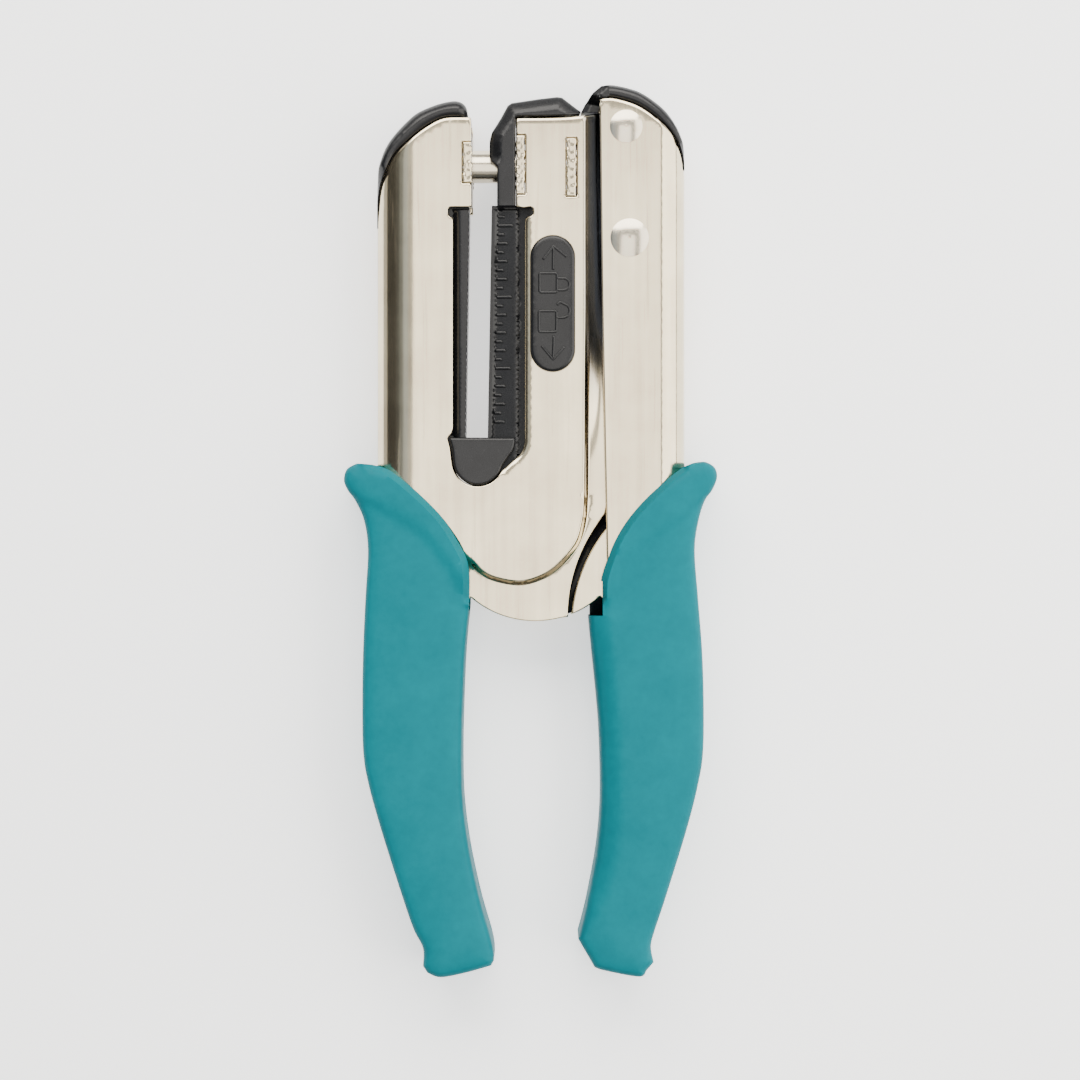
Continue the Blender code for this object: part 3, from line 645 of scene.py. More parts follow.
def folded_sheet(name, chain, edge, fold, half, height, spacing, holes=(), front_holes=(), guides=()):
    """A sheet bent round a fold at x = edge, from the front face to the back.

    The chain is the front's outline from the foot of the fold to its head. The sheet is
    laid out flat, cut and filled with triangles, then bent and given its thickness.
    The fold is a quarter of an ellipse: its width across the face and its depth.
    """
    side = 1.0 if edge < 0.0 else -1.0
    across, deep = fold
    start = edge * side + across
    quarter = math.pi / 2.0 * math.sqrt((across ** 2 + deep ** 2) / 2.0)
    middle = start - quarter - (half - deep)

    def unfold(x):
        if x * side >= start:
            return x * side
        return start - quarter * math.asin(min(1.0, (start - x * side) / across)) / (math.pi / 2.0)

    def flat(line, back=False):
        flat_line = [(unfold(x), y) for x, y in line]
        return [(2.0 * middle - u, y) for u, y in flat_line[::-1]] if back else flat_line

    openings = [flat(hole) for hole in list(holes) + list(front_holes)]
    openings += [flat(hole, True) for hole in holes]
    rows = [(flat(line, back), [-offset if back != (side < 0.0) else offset for offset in offsets])
            for line, offsets in guides for back in (False, True)]
    places, faces, from_edge = triangulate(flat(chain) + flat(chain, True), openings, spacing,
                                           (0.07, 0.16, SHEET_RIM, 0.5, 0.75), 0.5, rows)
    mirrored = places[:, 0] < middle
    u = np.where(mirrored, 2.0 * middle - places[:, 0], places[:, 0])
    bend = np.clip((start - u) / quarter, 0.0, 1.0) * math.pi / 2.0
    x = np.where(u >= start, u, start - across * np.sin(bend)) * side
    level = height(np.column_stack([x, places[:, 1]]))
    z = level - deep * (1.0 - np.cos(bend)) - np.clip(start - quarter - u, 0.0, None)
    base = np.column_stack([x, places[:, 1], MIDDLE + np.where(mirrored, -z, z)])
    if side < 0.0:
        faces = faces[:, ::-1]
    return sheet_solid(name, base, faces, from_edge)


def pan_edge():
    """Foot of the raised part, open at the top and the left."""
    bottom = smooth([
        (-25.2, 9.6), (-22.6, 8.5), (-18.4, 5.2), (-15.0, 1.7), (-12.4, -2.0), (-10.6, -5.6), (-8.9, -7.6),
        (-6.3, -8.9), (-2.1, -9.6), (1.5, -8.8), (4.9, -6.8), (8.4, -2.7), (9.75, 1.5),
        (STEP_RIGHT, 5.4)], 4)
    return [(-60.0, 95.0), (-60.0, 9.6)] + bottom + [(STEP_RIGHT, 95.0)]


def window_chain():
    """The throat window's edge, from the punch arm's jaw round to the die arm's jaw."""
    points = notch(JAW_RIGHT, -0.93, 70.3, 59.7) + [
        (JAW_RIGHT, JAW_FLOOR + 0.1), (-1.2, JAW_FLOOR - 0.15), (0.0, JAW_FLOOR + 0.05),
        (0.44, JAW_FLOOR - 0.3), (0.44, 56.3), (0.1, 55.9), (WINDOW_RIGHT + 0.4, 55.7),
        (WINDOW_RIGHT, WINDOW_TOP)]
    points += window_lip()[1:]
    points += arc(STOP_CENTRE, 4.62, -25.0, -170.0, 22)
    points += [
        (-14.3, 14.6), (-14.75, 16.4), (WINDOW_LEFT - 0.35, 17.2), (WINDOW_LEFT, 18.2),
        (WINDOW_LEFT, 55.5), (-14.3, 55.8), (-14.65, 56.2), (-14.65, 57.1), (-14.3, JAW_FLOOR),
        (JAW_LEFT, JAW_FLOOR)]
    return points + notch(JAW_LEFT, -12.15, 61.75, 69.05)


def heel_arc(heel, low, high, steps):
    """Points on a heel's arc between two heights, on its side towards the frame."""
    centre, radius = heel
    angles = [180.0 - math.degrees(math.asin((y - centre[1]) / radius)) for y in (low, high)]
    return arc(centre, radius, angles[0], angles[1], steps)


def window_lip():
    """The window's pressed-in edge beside the depth scale."""
    foot = [(WINDOW_RIGHT, 17.0), (-1.25, 15.2), (-2.0, 13.6), (-3.6, 12.2), (-4.9, 11.0)]
    return [(WINDOW_RIGHT, WINDOW_TOP)] + smooth(foot, 4)


def frame_chain():
    """The frame's outline, from its tang round by the lever and the jaws to its left fold."""
    points = [(FRAME_LEFT, 9.8), (-24.5, 8.3), (-21.5, 5.9), (-18.8, 3.2), (-16.6, 0.2), (-14.6, -4.0),
              (-13.2, -9.0), (-13.0, -13.2)]
    points += arc(*BOTTOM, -131.0, -75.0, 24)
    points += heel_arc(FRAME_HEEL, -15.4, 3.0, 20)
    points += [(FLANGE_RIGHT, 6.5), (FLANGE_RIGHT, 66.5)]
    points += arc(PIVOT, 4.2, -70.0, 135.0, 30)
    return points + top_edge() + window_chain() + die_top_edge()


def frame_height(places):
    """Half thickness: a raised pan, its pressed step, a groove beside the lever and rolled edges."""
    x, y = places[:, 0], places[:, 1]
    edge = pan_edge()
    away = distance(places, edge, closed=True)
    away = np.where(inside(places, edge), -away, away)
    by_lever = ramp(y, 0.0, 14.0) * ramp(x, 4.0, 8.5)
    under_grip = 1.0 - ramp(x, -12.5, -9.5)
    shift = 1.1 * under_grip
    outer = 0.15 + shift
    inner = -0.7 + 0.2 * by_lever + shift
    t = np.clip((away - inner) / (outer - inner), 0.0, 1.0)
    level = PAN_HALF - (PAN_HALF - FLANGE_HALF) * (0.6 * t + 0.4 * t * t * (3.0 - 2.0 * t))
    past = np.clip((x - 9.55) / 3.3, 0.0, 1.0)
    hollow = FLANGE_HALF - 0.1 + (PAN_HALF - FLANGE_HALF + 0.1) * (1.0 - past) ** 1.7
    share = ramp(y, 4.0, 42.0) * (x > 0.0)
    level = level * (1.0 - share) + hollow * share
    roll = nearness(distance(places, window_lip()), 1.45)
    level -= 0.48 * roll * roll
    tops = [distance(places, line) for line in (top_edge(), die_top_edge())]
    crown = nearness(np.minimum(*tops), 0.8)
    return level - 0.2 * crown * crown


def top_edge():
    """The frame's top, from the lever to the punch arm's jaw."""
    return smooth([
        (12.2, 74.55), (10.8, 74.2), (9.5, 73.85), (6.1, 73.55), (2.0, 73.45), (-2.3, 73.4),
        (JAW_RIGHT, 73.1)], 3)


def die_top_edge():
    """The frame's top, from the die arm's jaw to the left fold."""
    return smooth([
        (JAW_LEFT, 73.0), (-10.9, 73.5), (-14.65, 73.5), (-16.7, 72.9), (-19.4, 71.25), (-22.0, 69.15),
        (-24.3, 66.9), (-26.0, 63.6), (-27.0, 60.6), (FRAME_LEFT, 56.0)], 4)


def frame_sheet():
    """The folded frame; rows of points follow its step, its groove and the window's lip."""
    rear_slot = rectangle(6.3, 59.35, 8.2, 69.75)
    lock_slot = stadium((KNOB[0], KNOB[1] + 1.5), 2.9, 13.0, 8)
    step = (pan_edge()[2:-1], (-0.25, -0.1, 0.05, 0.2, 0.35, 0.5, 0.65, 0.8, 1.0))
    groove = ([(STEP_RIGHT, 7.0), (STEP_RIGHT, 73.6)],
              (-2.8, -2.4, -2.0, -1.6, -1.2, -0.9, -0.6, -0.3, 0.0, 0.15, 0.3, 0.45, 0.6, 0.9))
    lip = (window_lip(), (-1.7, -1.4, -1.1, -0.9))
    piece = folded_sheet("frame_sheet", frame_chain(), FRAME_LEFT, FRAME_FOLD, PAN_HALF, frame_height, 1.0,
                         holes=[rear_slot], front_holes=[lock_slot], guides=[step, groove, lip])
    # Paints shade into the groove beside the lever.
    painted_groove_shade(piece)
    place(piece, "frame", STEEL, "frame_shell")


def painted_groove_shade(piece):
    """Paints shade into the groove beside the lever: a dark colour that stands for its shadow and dark
    reflection; it fades out towards the grips.
    """
    places = np.array([tuple(vertex.co) for vertex in piece.data.vertices]) / MM
    x, y = places[:, 0], places[:, 1]
    wide = ramp(x, 9.4, 10.5) * ramp(y, 20.0, 36.0)
    narrow = np.exp(-((x - 9.9) / 0.35) ** 2) * ramp(y, 2.0, 12.0)
    shade = 0.88 * np.maximum(wide, 0.8 * narrow)
    layer = piece.data.attributes.new("painted_groove_shade", "FLOAT", "POINT")
    layer.data.foreach_set("value", shade.astype(np.float32))


def lever_head():
    """The lever's top, from its left corner to its fold."""
    return smooth([
        (12.3, 76.2), (12.45, 76.75), (14.1, 77.0), (16.3, 76.6), (18.7, 75.8), (20.5, 74.8), (22.7, 73.2),
        (24.6, 71.5), (26.0, 69.6), (27.1, 67.0), (LEVER_RIGHT, 63.0)], 4)


def lever_height(places):
    """Half thickness of the lever's sheet: flat, with a faint crease before its fold and a rolled head."""
    crown = nearness(distance(places, lever_head()), 0.8)
    crease_line = np.exp(-((places[:, 0] - LEVER_CREASE) / 0.45) ** 2)
    return PAN_HALF - 0.2 * crown * crown - 0.035 * crease_line


def lever_sheet():
    chain = [(LEVER_RIGHT, -8.5), (14.4, -8.5), (13.6, -5.0), (13.2, 14.0), (12.7, 41.0), (12.3, 75.6)]
    bend = ([(LEVER_CREASE, -8.0), (LEVER_CREASE, 73.0)], (-0.9, -0.6, -0.3, 0.0, 0.3, 0.6))
    piece = folded_sheet("lever_sheet", chain + lever_head(), LEVER_RIGHT, LEVER_FOLD, PAN_HALF,
                         lever_height, 1.2, guides=[bend])
    place(piece, "lever", STEEL, "lever_shell")


def tooth_sheet():
    """The lever's inner sheet: its tooth closes the frame's round bottom."""
    chain = [(TOOTH_RIGHT, -24.0), (14.6, -24.0), (13.6, -15.4), (12.9, -12.2), (12.4, -11.7)]
    chain += arc(*BOTTOM, -48.5, -68.5, 8)
    chain += heel_arc(HEEL, -14.6, 2.0, 20)
    chain += [(15.3, 5.0), (15.3, 8.0), (TOOTH_RIGHT, 8.0)]
    height = level_at(FLANGE_HALF)
    piece = folded_sheet("tooth_sheet", chain, TOOTH_RIGHT, (2.0, 2.0), FLANGE_HALF, height, 1.6)
    place(piece, "lever", STEEL, "lever_tang")


def gap_shade_plate():
    """A dark plastic plate between the lever's inner sheets that stands in for the shade seen through the
    gap beside the tooth.
    """
    outline = arc(BOTTOM[0], 17.2, -55.3, -73.5, 8) + heel_arc((HEEL[0], HEEL[1] + 1.8), -14.6, 3.0, 16)
    outline += [(13.8, 3.0), (13.8, -15.7), (10.6, -15.7)]
    place(prism("gap_shade_plate", outline, -3.6, 3.6, PLASTIC), "lever", PLASTIC)


# Staked tabs --------------------------------------------------------------

def staked_tab(left, right, low, high, side, phase):
    """The peened end of a plate in its slot: its ragged edges spill over the slot's rim in places."""
    count = 60

    def wave(t, strength, shift):
        slow = math.sin(17.0 * t + shift + phase)
        quick = math.sin(43.0 * t + 2.1 * shift + 1.7 * phase)
        return strength * (0.6 * slow + 0.4 * quick)

    heights = [low + (high - low) * i / count for i in range(count + 1)]
    right_edge = [(right + 0.04 + wave(i / count, 0.17, 0.0), y) for i, y in enumerate(heights)]
    left_edge = [(left - 0.02 + wave(i / count, 0.11, 1.0), y) for i, y in enumerate(heights)]
    points = right_edge + left_edge[::-1]

    def top(places):
        x, y = places[:, 0], places[:, 1]
        level = PAN_HALF + 0.2 + 0.03 * np.sin(4.3 * y + phase) * np.sin(3.1 * x + phase)
        level += 0.03 * np.exp(-((x - right + 0.3) / 0.2) ** 2) * (1.0 + np.sin(2.9 * y + 2.0 * phase))
        level += 0.03 * np.exp(-((x - left - 0.25) / 0.2) ** 2) * (1.0 + np.sin(3.7 * y + phase))
        return level - 0.14 * (1.0 - ramp(distance(places, points, closed=True), 0.0, 0.16))

    piece = pillow("tab", points, top, level_at(PAN_HALF - 0.05), STEEL, spacing=0.2, bands=(0.08, 0.16),
                   edge_step=0.2, rows=1)
    if side < 0.0:
        for vertex in piece.data.vertices:
            vertex.co.z = 2.0 * MIDDLE * MM - vertex.co.z
        piece.data.flip_normals()
    return piece


def staked_tabs():
    for phase, (label, span) in enumerate(TABS.items()):
        for side, face in ((1.0, "front"), (-1.0, "back")):
            piece = staked_tab(*span, side, 1.3 * phase + side)
            piece.name = label + "_tab_" + face
            place(piece, "frame", STEEL)


# Plastic pieces -----------------------------------------------------------

def rounded_top(half, outline, radius):
    """Height that rolls off in a quarter round towards an outline."""
    def height(places):
        gap = np.clip(radius - distance(places, outline, closed=True), 0.0, radius)
        return half - radius + np.sqrt(np.maximum(radius ** 2 - gap ** 2, 0.0))
    return height


def fold_level(past, fold):
    """Half thickness of a folded sheet at a distance past the start of its fold."""
    across, deep = fold
    share = np.clip(past / across, 0.0, 0.999)
    return PAN_HALF - deep + deep * np.sqrt(1.0 - share ** 2)


def die_cap():
    """Rounded cap along the die arm's shoulder; it thins out down the folded side."""
    outer = smooth([
        (-27.42, 54.0), (-27.45, 58.5), (-27.3, 62.3), (-27.0, 64.9), (-25.9, 68.0), (-24.4, 70.3),
        (-22.2, 72.7), (-20.0, 74.5), (-16.7, 75.9), (-14.0, 76.5), (-12.4, 76.3), (-11.45, 75.4),
        (-11.1, 73.9)], 5)
    inner = smooth([
        (-11.2, 73.55), (-14.65, 73.55), (-16.75, 72.95), (-19.5, 71.3), (-22.1, 69.2), (-24.4, 66.95),
        (-26.08, 63.6), (-27.06, 60.6), (-27.4, 56.5)], 5)
    piece = shoulder("die_cap", outer, inner, FRAME_LEFT, 1.0, FRAME_FOLD, 62.0, 70.0)
    place(piece, "frame", PLASTIC, "die_arm_cap")


def shoulder(name, outer, inner, edge, side, fold, low, high):
    """A band between two curves with a crowned top, kept close to the fold it wraps up to a height."""
    def height(places):
        beyond = distance(places, outer)
        within = distance(places, inner)
        level = CAP_HALF - rolled(beyond, 2.1) - 0.8 * nearness(within, 1.4) ** 2
        wrap = fold_level(fold[0] - side * (places[:, 0] - edge), fold) + 0.5
        return np.minimum(level, wrap + 4.0 * ramp(places[:, 1], low, high))

    return pillow(name, outer + inner, height, minus(height), PLASTIC, spacing=0.6,
                  bands=(0.08, 0.2, 0.4, 0.8, 1.3), edge_step=0.4, rows=8)


def punch_cap():
    """Faceted cap of the punch arm, with the leg that lines the jaw."""
    outer = [
        (-5.92, 57.55), (-5.92, 64.6), (-7.1, 65.8), (-7.3, 66.6), (-7.3, 69.2), (-6.9, 70.8),
        (-5.3, 73.4), (-4.1, 75.6), (-3.4, 76.1), (1.6, 76.85), (4.7, 77.2), (5.6, 77.1), (8.95, 74.55)]
    inner = smooth([
        (8.7, 74.05), (6.1, 73.75), (2.0, 73.62), (-2.0, 73.6), (-2.75, 73.3)], 3) + [(-2.75, 57.55)]
    chamfer = outer[3:]

    def height(places):
        gap = np.clip(2.1 - distance(places, chamfer), 0.0, 2.1)
        rounding = rolled(distance(places, outer + inner, closed=True), 0.3)
        return CAP_HALF - 0.55 * gap - 0.2 * np.clip(gap - 1.2, 0.0, 1.0) - rounding

    piece = pillow("punch_cap", outer + inner, height, minus(height), PLASTIC, spacing=0.8,
                   bands=(0.06, 0.15, 0.3, 0.8, 1.4, 2.1), edge_step=0.4, rows=4)
    bore = turned("bore", [(-9.0, 3.25), (-2.0, 3.25)], (0.0, PUNCH_Y), PLASTIC, along_x=True)
    room = prism("nose_room", rectangle(7.3, 70.0, 10.0, 80.0), -3.9, 3.9, PLASTIC)
    combine(piece, "DIFFERENCE", bore, room)
    sharpen(piece, 50.0)
    place(piece, "frame", PLASTIC, "punch_arm_cap")


def shoulder_cap():
    """The lever's cap, with the nose that fills the notch beside the punch arm."""
    outer = smooth([
        (12.55, 79.0), (13.4, 79.35), (14.8, 79.35), (17.1, 78.9), (19.5, 78.1), (21.9, 76.6),
        (24.0, 74.8), (25.5, 72.8), (26.6, 70.7), (27.35, 68.2), (27.55, 64.5)], 5)
    inner = smooth([
        (27.5, 64.4), (27.15, 67.1), (26.05, 69.7), (24.65, 71.6), (22.75, 73.3), (20.52, 74.9),
        (18.72, 75.9), (16.32, 76.7), (14.1, 77.1), (12.55, 76.85)], 5)
    piece = shoulder("shoulder_cap", outer, inner, LEVER_RIGHT, -1.0, LEVER_FOLD, 68.0, 73.0)
    place(piece, "lever", PLASTIC, "lever_cap")
    edge = [(9.0, 74.75), (9.7, 76.2), (11.2, 77.9), (12.6, 79.05)]
    outline = edge + [(14.0, 79.0), (14.0, 77.3), (12.7, 76.6), (12.2, 74.75)]

    def nose_height(places):
        gap = np.clip(1.1 - distance(places, edge), 0.0, 1.1)
        return 3.4 + 3.7 * ramp(places[:, 1] + 0.25 * (places[:, 0] - 11.0), 76.1, 77.6) - 0.7 * gap

    nose = pillow("cap_nose", outline, nose_height, minus(nose_height), PLASTIC, spacing=0.3,
                  bands=(0.1, 0.3, 0.6, 0.9, 1.1), edge_step=0.25, rows=3)
    crease(nose, 0.15, 40.0)
    place(nose, "lever", PLASTIC)


def throat_edge(y, left=False):
    """The throat leans a little: x of its right or left edge at a height."""
    return (-10.95 if left else -6.9) - 0.7 * (57.0 - y) / 40.0


def liner():
    """Both walls of the throat, and the flat seat below the depth scale."""
    floor = 16.2
    mouth = 57.9
    wall = [(-15.2, mouth), (-15.2, 55.3), (-14.4, 55.0), (-14.4, 18.2), (-14.9, 16.4), (-14.1, 14.2)]
    round_end = arc(STOP_CENTRE, 4.45, -175.0, -25.0, 24)
    right = smooth([(-4.5, 10.7), (-3.1, 12.0), (-1.5, 13.3), (-0.7, 15.1), (-0.5, 17.0)], 4)
    right += [(-0.5, 55.3), (1.0, 55.3), (1.0, mouth)]
    slot = [
        (throat_edge(57.0), mouth), (throat_edge(floor), floor), (throat_edge(floor, left=True), floor),
        (throat_edge(57.0, left=True), mouth)]

    def height(places):
        x = places[:, 0]
        ruler = throat_edge(places[:, 1]) + 0.6
        wall_top = 6.2 - ramp(x, ruler, ruler + 0.15) * (0.3 + SEAT_TILT * (SEAT_RIGHT - x))
        wall_top -= 1.5 * ramp(x, -2.45, -2.3)
        level = np.where(x < -9.0, 6.15 - 0.5 * ramp(-x, 12.7, 13.3), wall_top)
        under_sheet = (x < -13.5) | (x > -1.6) | (places[:, 1] > 57.2)
        return np.where(under_sheet, np.minimum(level, 4.9), level)

    piece = pillow("liner", wall + round_end + right + slot, height, minus(height), PLASTIC, spacing=0.5,
                   bands=(0.25, 0.6), edge_step=0.3, rows=2)
    crease(piece, 0.1, 60.0)
    place(piece, "frame", PLASTIC, "throat_liner")


def throat_stop():
    """The D-shaped block that closes the throat, on both faces."""
    outline = [(-2.75, 16.5), (-14.3, 16.55), (-14.5, 16.2), (-14.0, 14.4)]
    outline += arc(STOP_CENTRE, 4.42, -176.0, -24.0, 24)
    outline += smooth([(-5.0, 11.6), (-4.1, 12.9), (-3.1, 14.3), (-2.75, 15.6)], 4)
    top = rounded_top(PAN_HALF - 0.02, outline, 0.45)
    piece = pillow("throat_stop", outline, top, minus(top), PLASTIC, spacing=0.7, bands=(0.1, 0.25, 0.5),
                   edge_step=0.3, rows=2)
    place(piece, "frame", PLASTIC)


def scale_marks(side, face):
    """Depth scale: raised marks every sixteenth of an inch, long ones every half inch, each with a hook."""
    step = 25.4 / 16.0
    first = 54.3 + step
    lines = []
    for index in range(24):
        y = first - step * index
        start = throat_edge(y) + 0.95
        order = (index - 1) % 8
        reach = 2.9 if order == 0 else 2.0 if order % 2 == 0 else 1.35
        bar = resample([(start, y), (start + reach, y)], 0.4, closed=False)
        lines.append(bead(bar, 0.62, 0.24, SEAT_HALF))
        hook = resample([(start + 0.1, y), (start + 0.15, y + 0.75)], 0.4, closed=False)
        lines.append(bead(hook, 0.5, 0.2, SEAT_HALF))
    lines = [([(x, y, side * (z - SEAT_TILT * (SEAT_RIGHT - x))) for x, y, z in vertices], faces)
             for vertices, faces in lines]
    piece = beads("scale_marks_" + face, lines, PLASTIC)
    place(piece, "frame", PLASTIC, "depth_scale_" + face)


# Lock slider --------------------------------------------------------------

def knob():
    outline = stadium(KNOB, 8.0, 24.3, 28)
    face = PAN_HALF + 1.4
    piece = pillow("knob", outline, rounded_top(face, outline, 0.65), level_at(PAN_HALF + 0.12), PLASTIC,
                   spacing=0.9, bands=(0.12, 0.3, 0.6), edge_step=0.4, rows=2)
    crease(piece, 0.08, 60.0)
    settle(piece)
    stem = prism("stem", stadium(KNOB, 2.2, 9.0, 10), 3.7, PAN_HALF + 0.6, PLASTIC)
    combine(piece, "UNION", stem)
    place(piece, "lock", PLASTIC, "lock_knob")
    signs(face)


def signs(face):
    """Raised arrows and padlocks on the knob."""
    x, y = KNOB
    arrows = [
        [(x - 1.75, y + 7.7), (x + 0.1, y + 10.1), (x + 2.45, y + 8.2)],
        [(x + 0.1, y + 9.9), (x + 0.05, y + 5.9)],
        [(x - 1.95, y - 7.6), (x + 0.05, y - 10.0), (x + 2.15, y - 7.7)],
        [(x + 0.05, y - 9.8), (x + 0.2, y - 5.8)],
    ]
    bodies = [(x - 2.35, y + 1.9, x + 0.75, y + 5.3), (x - 2.45, y - 5.1, x + 0.65, y - 1.4)]
    shut = [(x + 0.75, y + 4.4), (x + 1.9, y + 4.4)] + arc((x + 1.9, y + 3.35), 1.05, 90.0, -90.0, 10)
    shut.append((x + 0.75, y + 2.3))
    opened = [(x + 0.65, y - 2.6), (x + 1.6, y - 2.6)] + arc((x + 1.75, y - 1.35), 1.25, -80.0, 50.0, 10)
    opened += smooth([(x + 2.0, y - 0.15), (x + 1.3, y + 0.15), (x + 0.75, y - 0.35)], 4)
    lines = [(resample(arrow, 0.3, closed=False), False) for arrow in arrows]
    lines += [(rounded_box(*body), True) for body in bodies]
    lines += [(resample(shackle, 0.25, closed=False), False) for shackle in (shut, opened)]
    marks = [bead(path, 0.5, 0.17, face - 0.02, closed) for path, closed in lines]
    place(beads("lock_signs", marks, PLASTIC), "lock", PLASTIC)


def rounded_box(left, bottom, right, top):
    """A closed path round a box with small round corners."""
    radius = 0.35
    corners = rectangle(left + radius, bottom + radius, right - radius, top - radius)
    points = []
    for centre, start in zip(corners[2:] + corners[:2], (0.0, 90.0, 180.0, 270.0)):
        points += arc(centre, radius, start, start + 90.0, 4)
    return resample(points, 0.35)


# Punch and rivets ---------------------------------------------------------

def punch():
    radius = 2.95
    step = 9.5
    end = 14.5
    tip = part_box("punch_pin")[0][0] / MM
    profile = [
        (tip + 0.7, 0.0), (tip + 0.7, 1.2), (tip, 2.45), (tip, radius - 0.12), (tip + 0.12, radius),
        (step - 0.2, radius), (step, radius - 0.2), (step, 2.4), (end - 0.3, 2.4), (end, 2.1), (end, 0.0)]
    piece = turned("punch", profile, (0.0, PUNCH_Y), BRIGHT, along_x=True)
    fork = prism("fork", rectangle(step + 0.5, PUNCH_Y - 6.0, 20.0, PUNCH_Y + 6.0), -1.5, 1.5, BRIGHT)
    hole = turned("hole", [(-9.0, 1.3), (9.0, 1.3)], (12.2, PUNCH_Y), BRIGHT)
    combine(piece, "DIFFERENCE", fork, hole)
    sharpen(piece, 35.0)
    place(piece, "punch", BRIGHT, "punch_pin")


def rivet(name, centre, head, shank, node):
    """Low domed heads with a rolled rim and a small centre mark."""
    base = PAN_HALF + 0.04
    rim = base + 0.16
    rise = 0.17 * head
    half = [(base, shank), (base, head - 0.1), (base + 0.06, head), (rim, head)]
    for index in range(1, 15):
        radius = head * (1.0 - index / 15.0)
        half.append((rim + rise * (1.0 - (radius / head) ** 2), radius))
    peak = half[-1][0]
    half += [(peak + 0.01, 0.16), (peak - 0.10, 0.08), (peak - 0.12, 0.0)]
    profile = [(-along, radius) for along, radius in half[::-1]] + half
    piece = turned(name, profile, centre, BRIGHT, steps=72)
    sharpen(piece, 50.0)
    place(piece, "lever", BRIGHT, node)


# Grips --------------------------------------------------------------------

def grip(name, node, body, outline, mouth, ledge, facet, cavities):
    """A soft sleeve: crowned faces, a chamfered mouth, a raised collar and rounded edges.

    A cavity is (shape, low, high), and may add the fold that it follows: its edge, size and slack.
    """
    sides = outline[:-len(mouth)]
    above_ledge = ledge_side(ledge)

    def height(places):
        edge = distance(places, sides)
        gap = nearness(edge, 1.15)
        rounding = 1.3 * (1.0 - np.sqrt(np.maximum(1.0 - gap ** 2, 0.0)))
        level = GRIP_HALF - 0.75 * np.exp(-edge / 2.6) - rounding
        level -= 1.75 * nearness(distance(places, mouth), 1.05)
        beyond = distance(places, ledge)
        beyond = np.where(inside(places, above_ledge), beyond, -beyond)
        level -= 0.5 * (1.0 - ramp(beyond, -1.1, 1.1)) * (1.0 - 0.6 * ramp(-places[:, 1], 20.0, 50.0))
        if facet is not None:
            width = 0.05 + 3.25 * ramp(places[:, 1], -77.0, -60.0)
            level -= 1.4 * width / 3.3 * nearness(distance(places, facet), width)
        return level

    piece = pillow(name, outline, height, minus(height), RUBBER, spacing=1.1,
                   bands=(0.12, 0.35, 0.75, 1.1, 2.1, 3.1), edge_step=0.5, rows=6)
    cutters = []
    for label, (shape, low, high, *fold) in cavities.items():
        cutter = prism(label, shape, low, high, RUBBER)
        cutters.append(combine(cutter, "INTERSECT", fold_space(*fold)) if fold else cutter)
    combine(piece, "DIFFERENCE", *cutters)
    sharpen(piece, 55.0)
    place(piece, body, RUBBER, node)


def ledge_side(ledge):
    """The region above the ledge line, towards the jaws."""
    first, last = ledge[0], ledge[-1]
    out = math.copysign(20.0, last[0] - first[0])
    return ([(first[0] - out, first[1])] + list(ledge)
            + [(last[0] + out, last[1]), (last[0] + out, 80.0), (first[0] - out, 80.0)])


def fold_space(edge, fold, slack):
    """A long block that follows a folded sheet's section, to cut room for it."""
    side = 1.0 if edge < 0.0 else -1.0
    across, deep = fold[0] + slack, fold[1] + slack
    half = PAN_HALF + slack
    centre = edge + side * (across - slack)
    corner = [(centre - side * across * math.cos(a), half - deep + deep * math.sin(a))
              for a in np.linspace(0.0, math.pi / 2.0, 13)]
    section = corner + [(centre + side * 60.0, half), (centre + side * 60.0, -half)]
    section += [(x, -z) for x, z in corner[::-1]]
    return block("room", *[[(x, y, MIDDLE + z) for x, z in section] for y in (-40.0, 60.0)], RUBBER)


def left_grip():
    outer = smooth([
        (-30.9, 11.9), (-32.6, 10.9), (-33.15, 9.0), (-32.5, 7.2), (-31.2, 5.4), (-29.6, 1.8),
        (-28.9, -3.5), (-29.35, -12.0), (-29.75, -21.0), (-29.9, -30.0), (-29.75, -39.0), (-28.9, -44.6),
        (-26.6, -53.0), (-22.6, -65.6), (-20.7, -71.0), (-19.1, -74.2), (-19.1, -77.4)])
    foot = smooth([(-18.3, -78.6), (-16.0, -79.4), (-12.0, -78.7), (-9.0, -77.9), (-7.0, -77.3)])
    inner = smooth([
        (-6.5, -76.4), (-6.6, -74.6), (-7.2, -71.9), (-9.0, -65.6), (-10.9, -56.7), (-12.0, -48.0),
        (-12.2, -39.0), (-12.0, -30.0), (-11.6, -21.0), (-10.95, -14.0)])
    mouth = smooth([
        (-10.9, -12.0), (-10.9, -8.0), (-11.4, -4.9), (-13.05, -1.7), (-15.35, 1.9), (-18.6, 5.4),
        (-22.7, 9.0), (-25.4, 10.9), (-28.2, 11.7)])
    ledge = smooth([
        (-31.5, 5.9), (-28.9, 5.2), (-24.3, 2.9), (-19.8, 0.2), (-16.1, -3.9), (-13.2, -8.2),
        (-11.3, -12.4), (-10.2, -17.0)])
    tang = [
        (-27.6, 30.0), (-27.6, 9.6), (-24.6, 8.1), (-21.6, 5.7), (-18.9, 3.0), (-16.8, 0.0), (-14.8, -4.2),
        (-13.4, -9.2), (-13.2, -13.6), (5.0, -20.0), (5.0, 30.0)]
    pan = [(x - 0.1, y - 0.2 - 1.1 * float(ramp(-x, 11.0, 14.0))) for x, y in pan_edge() if y < 50.0]
    pocket = [(FRAME_LEFT - 2.0, 30.0), (FRAME_LEFT - 2.0, 8.3)] + pan[1:] + [(5.0, 30.0)]
    grip("left_sleeve", "left_grip", "frame", outer + foot + inner + mouth, mouth, ledge, None,
         {"tang": (tang, -FLANGE_HALF - 0.1, FLANGE_HALF + 0.1),
          "pocket": (pocket, -12.0, 12.0, FRAME_LEFT, FRAME_FOLD, 0.05)})


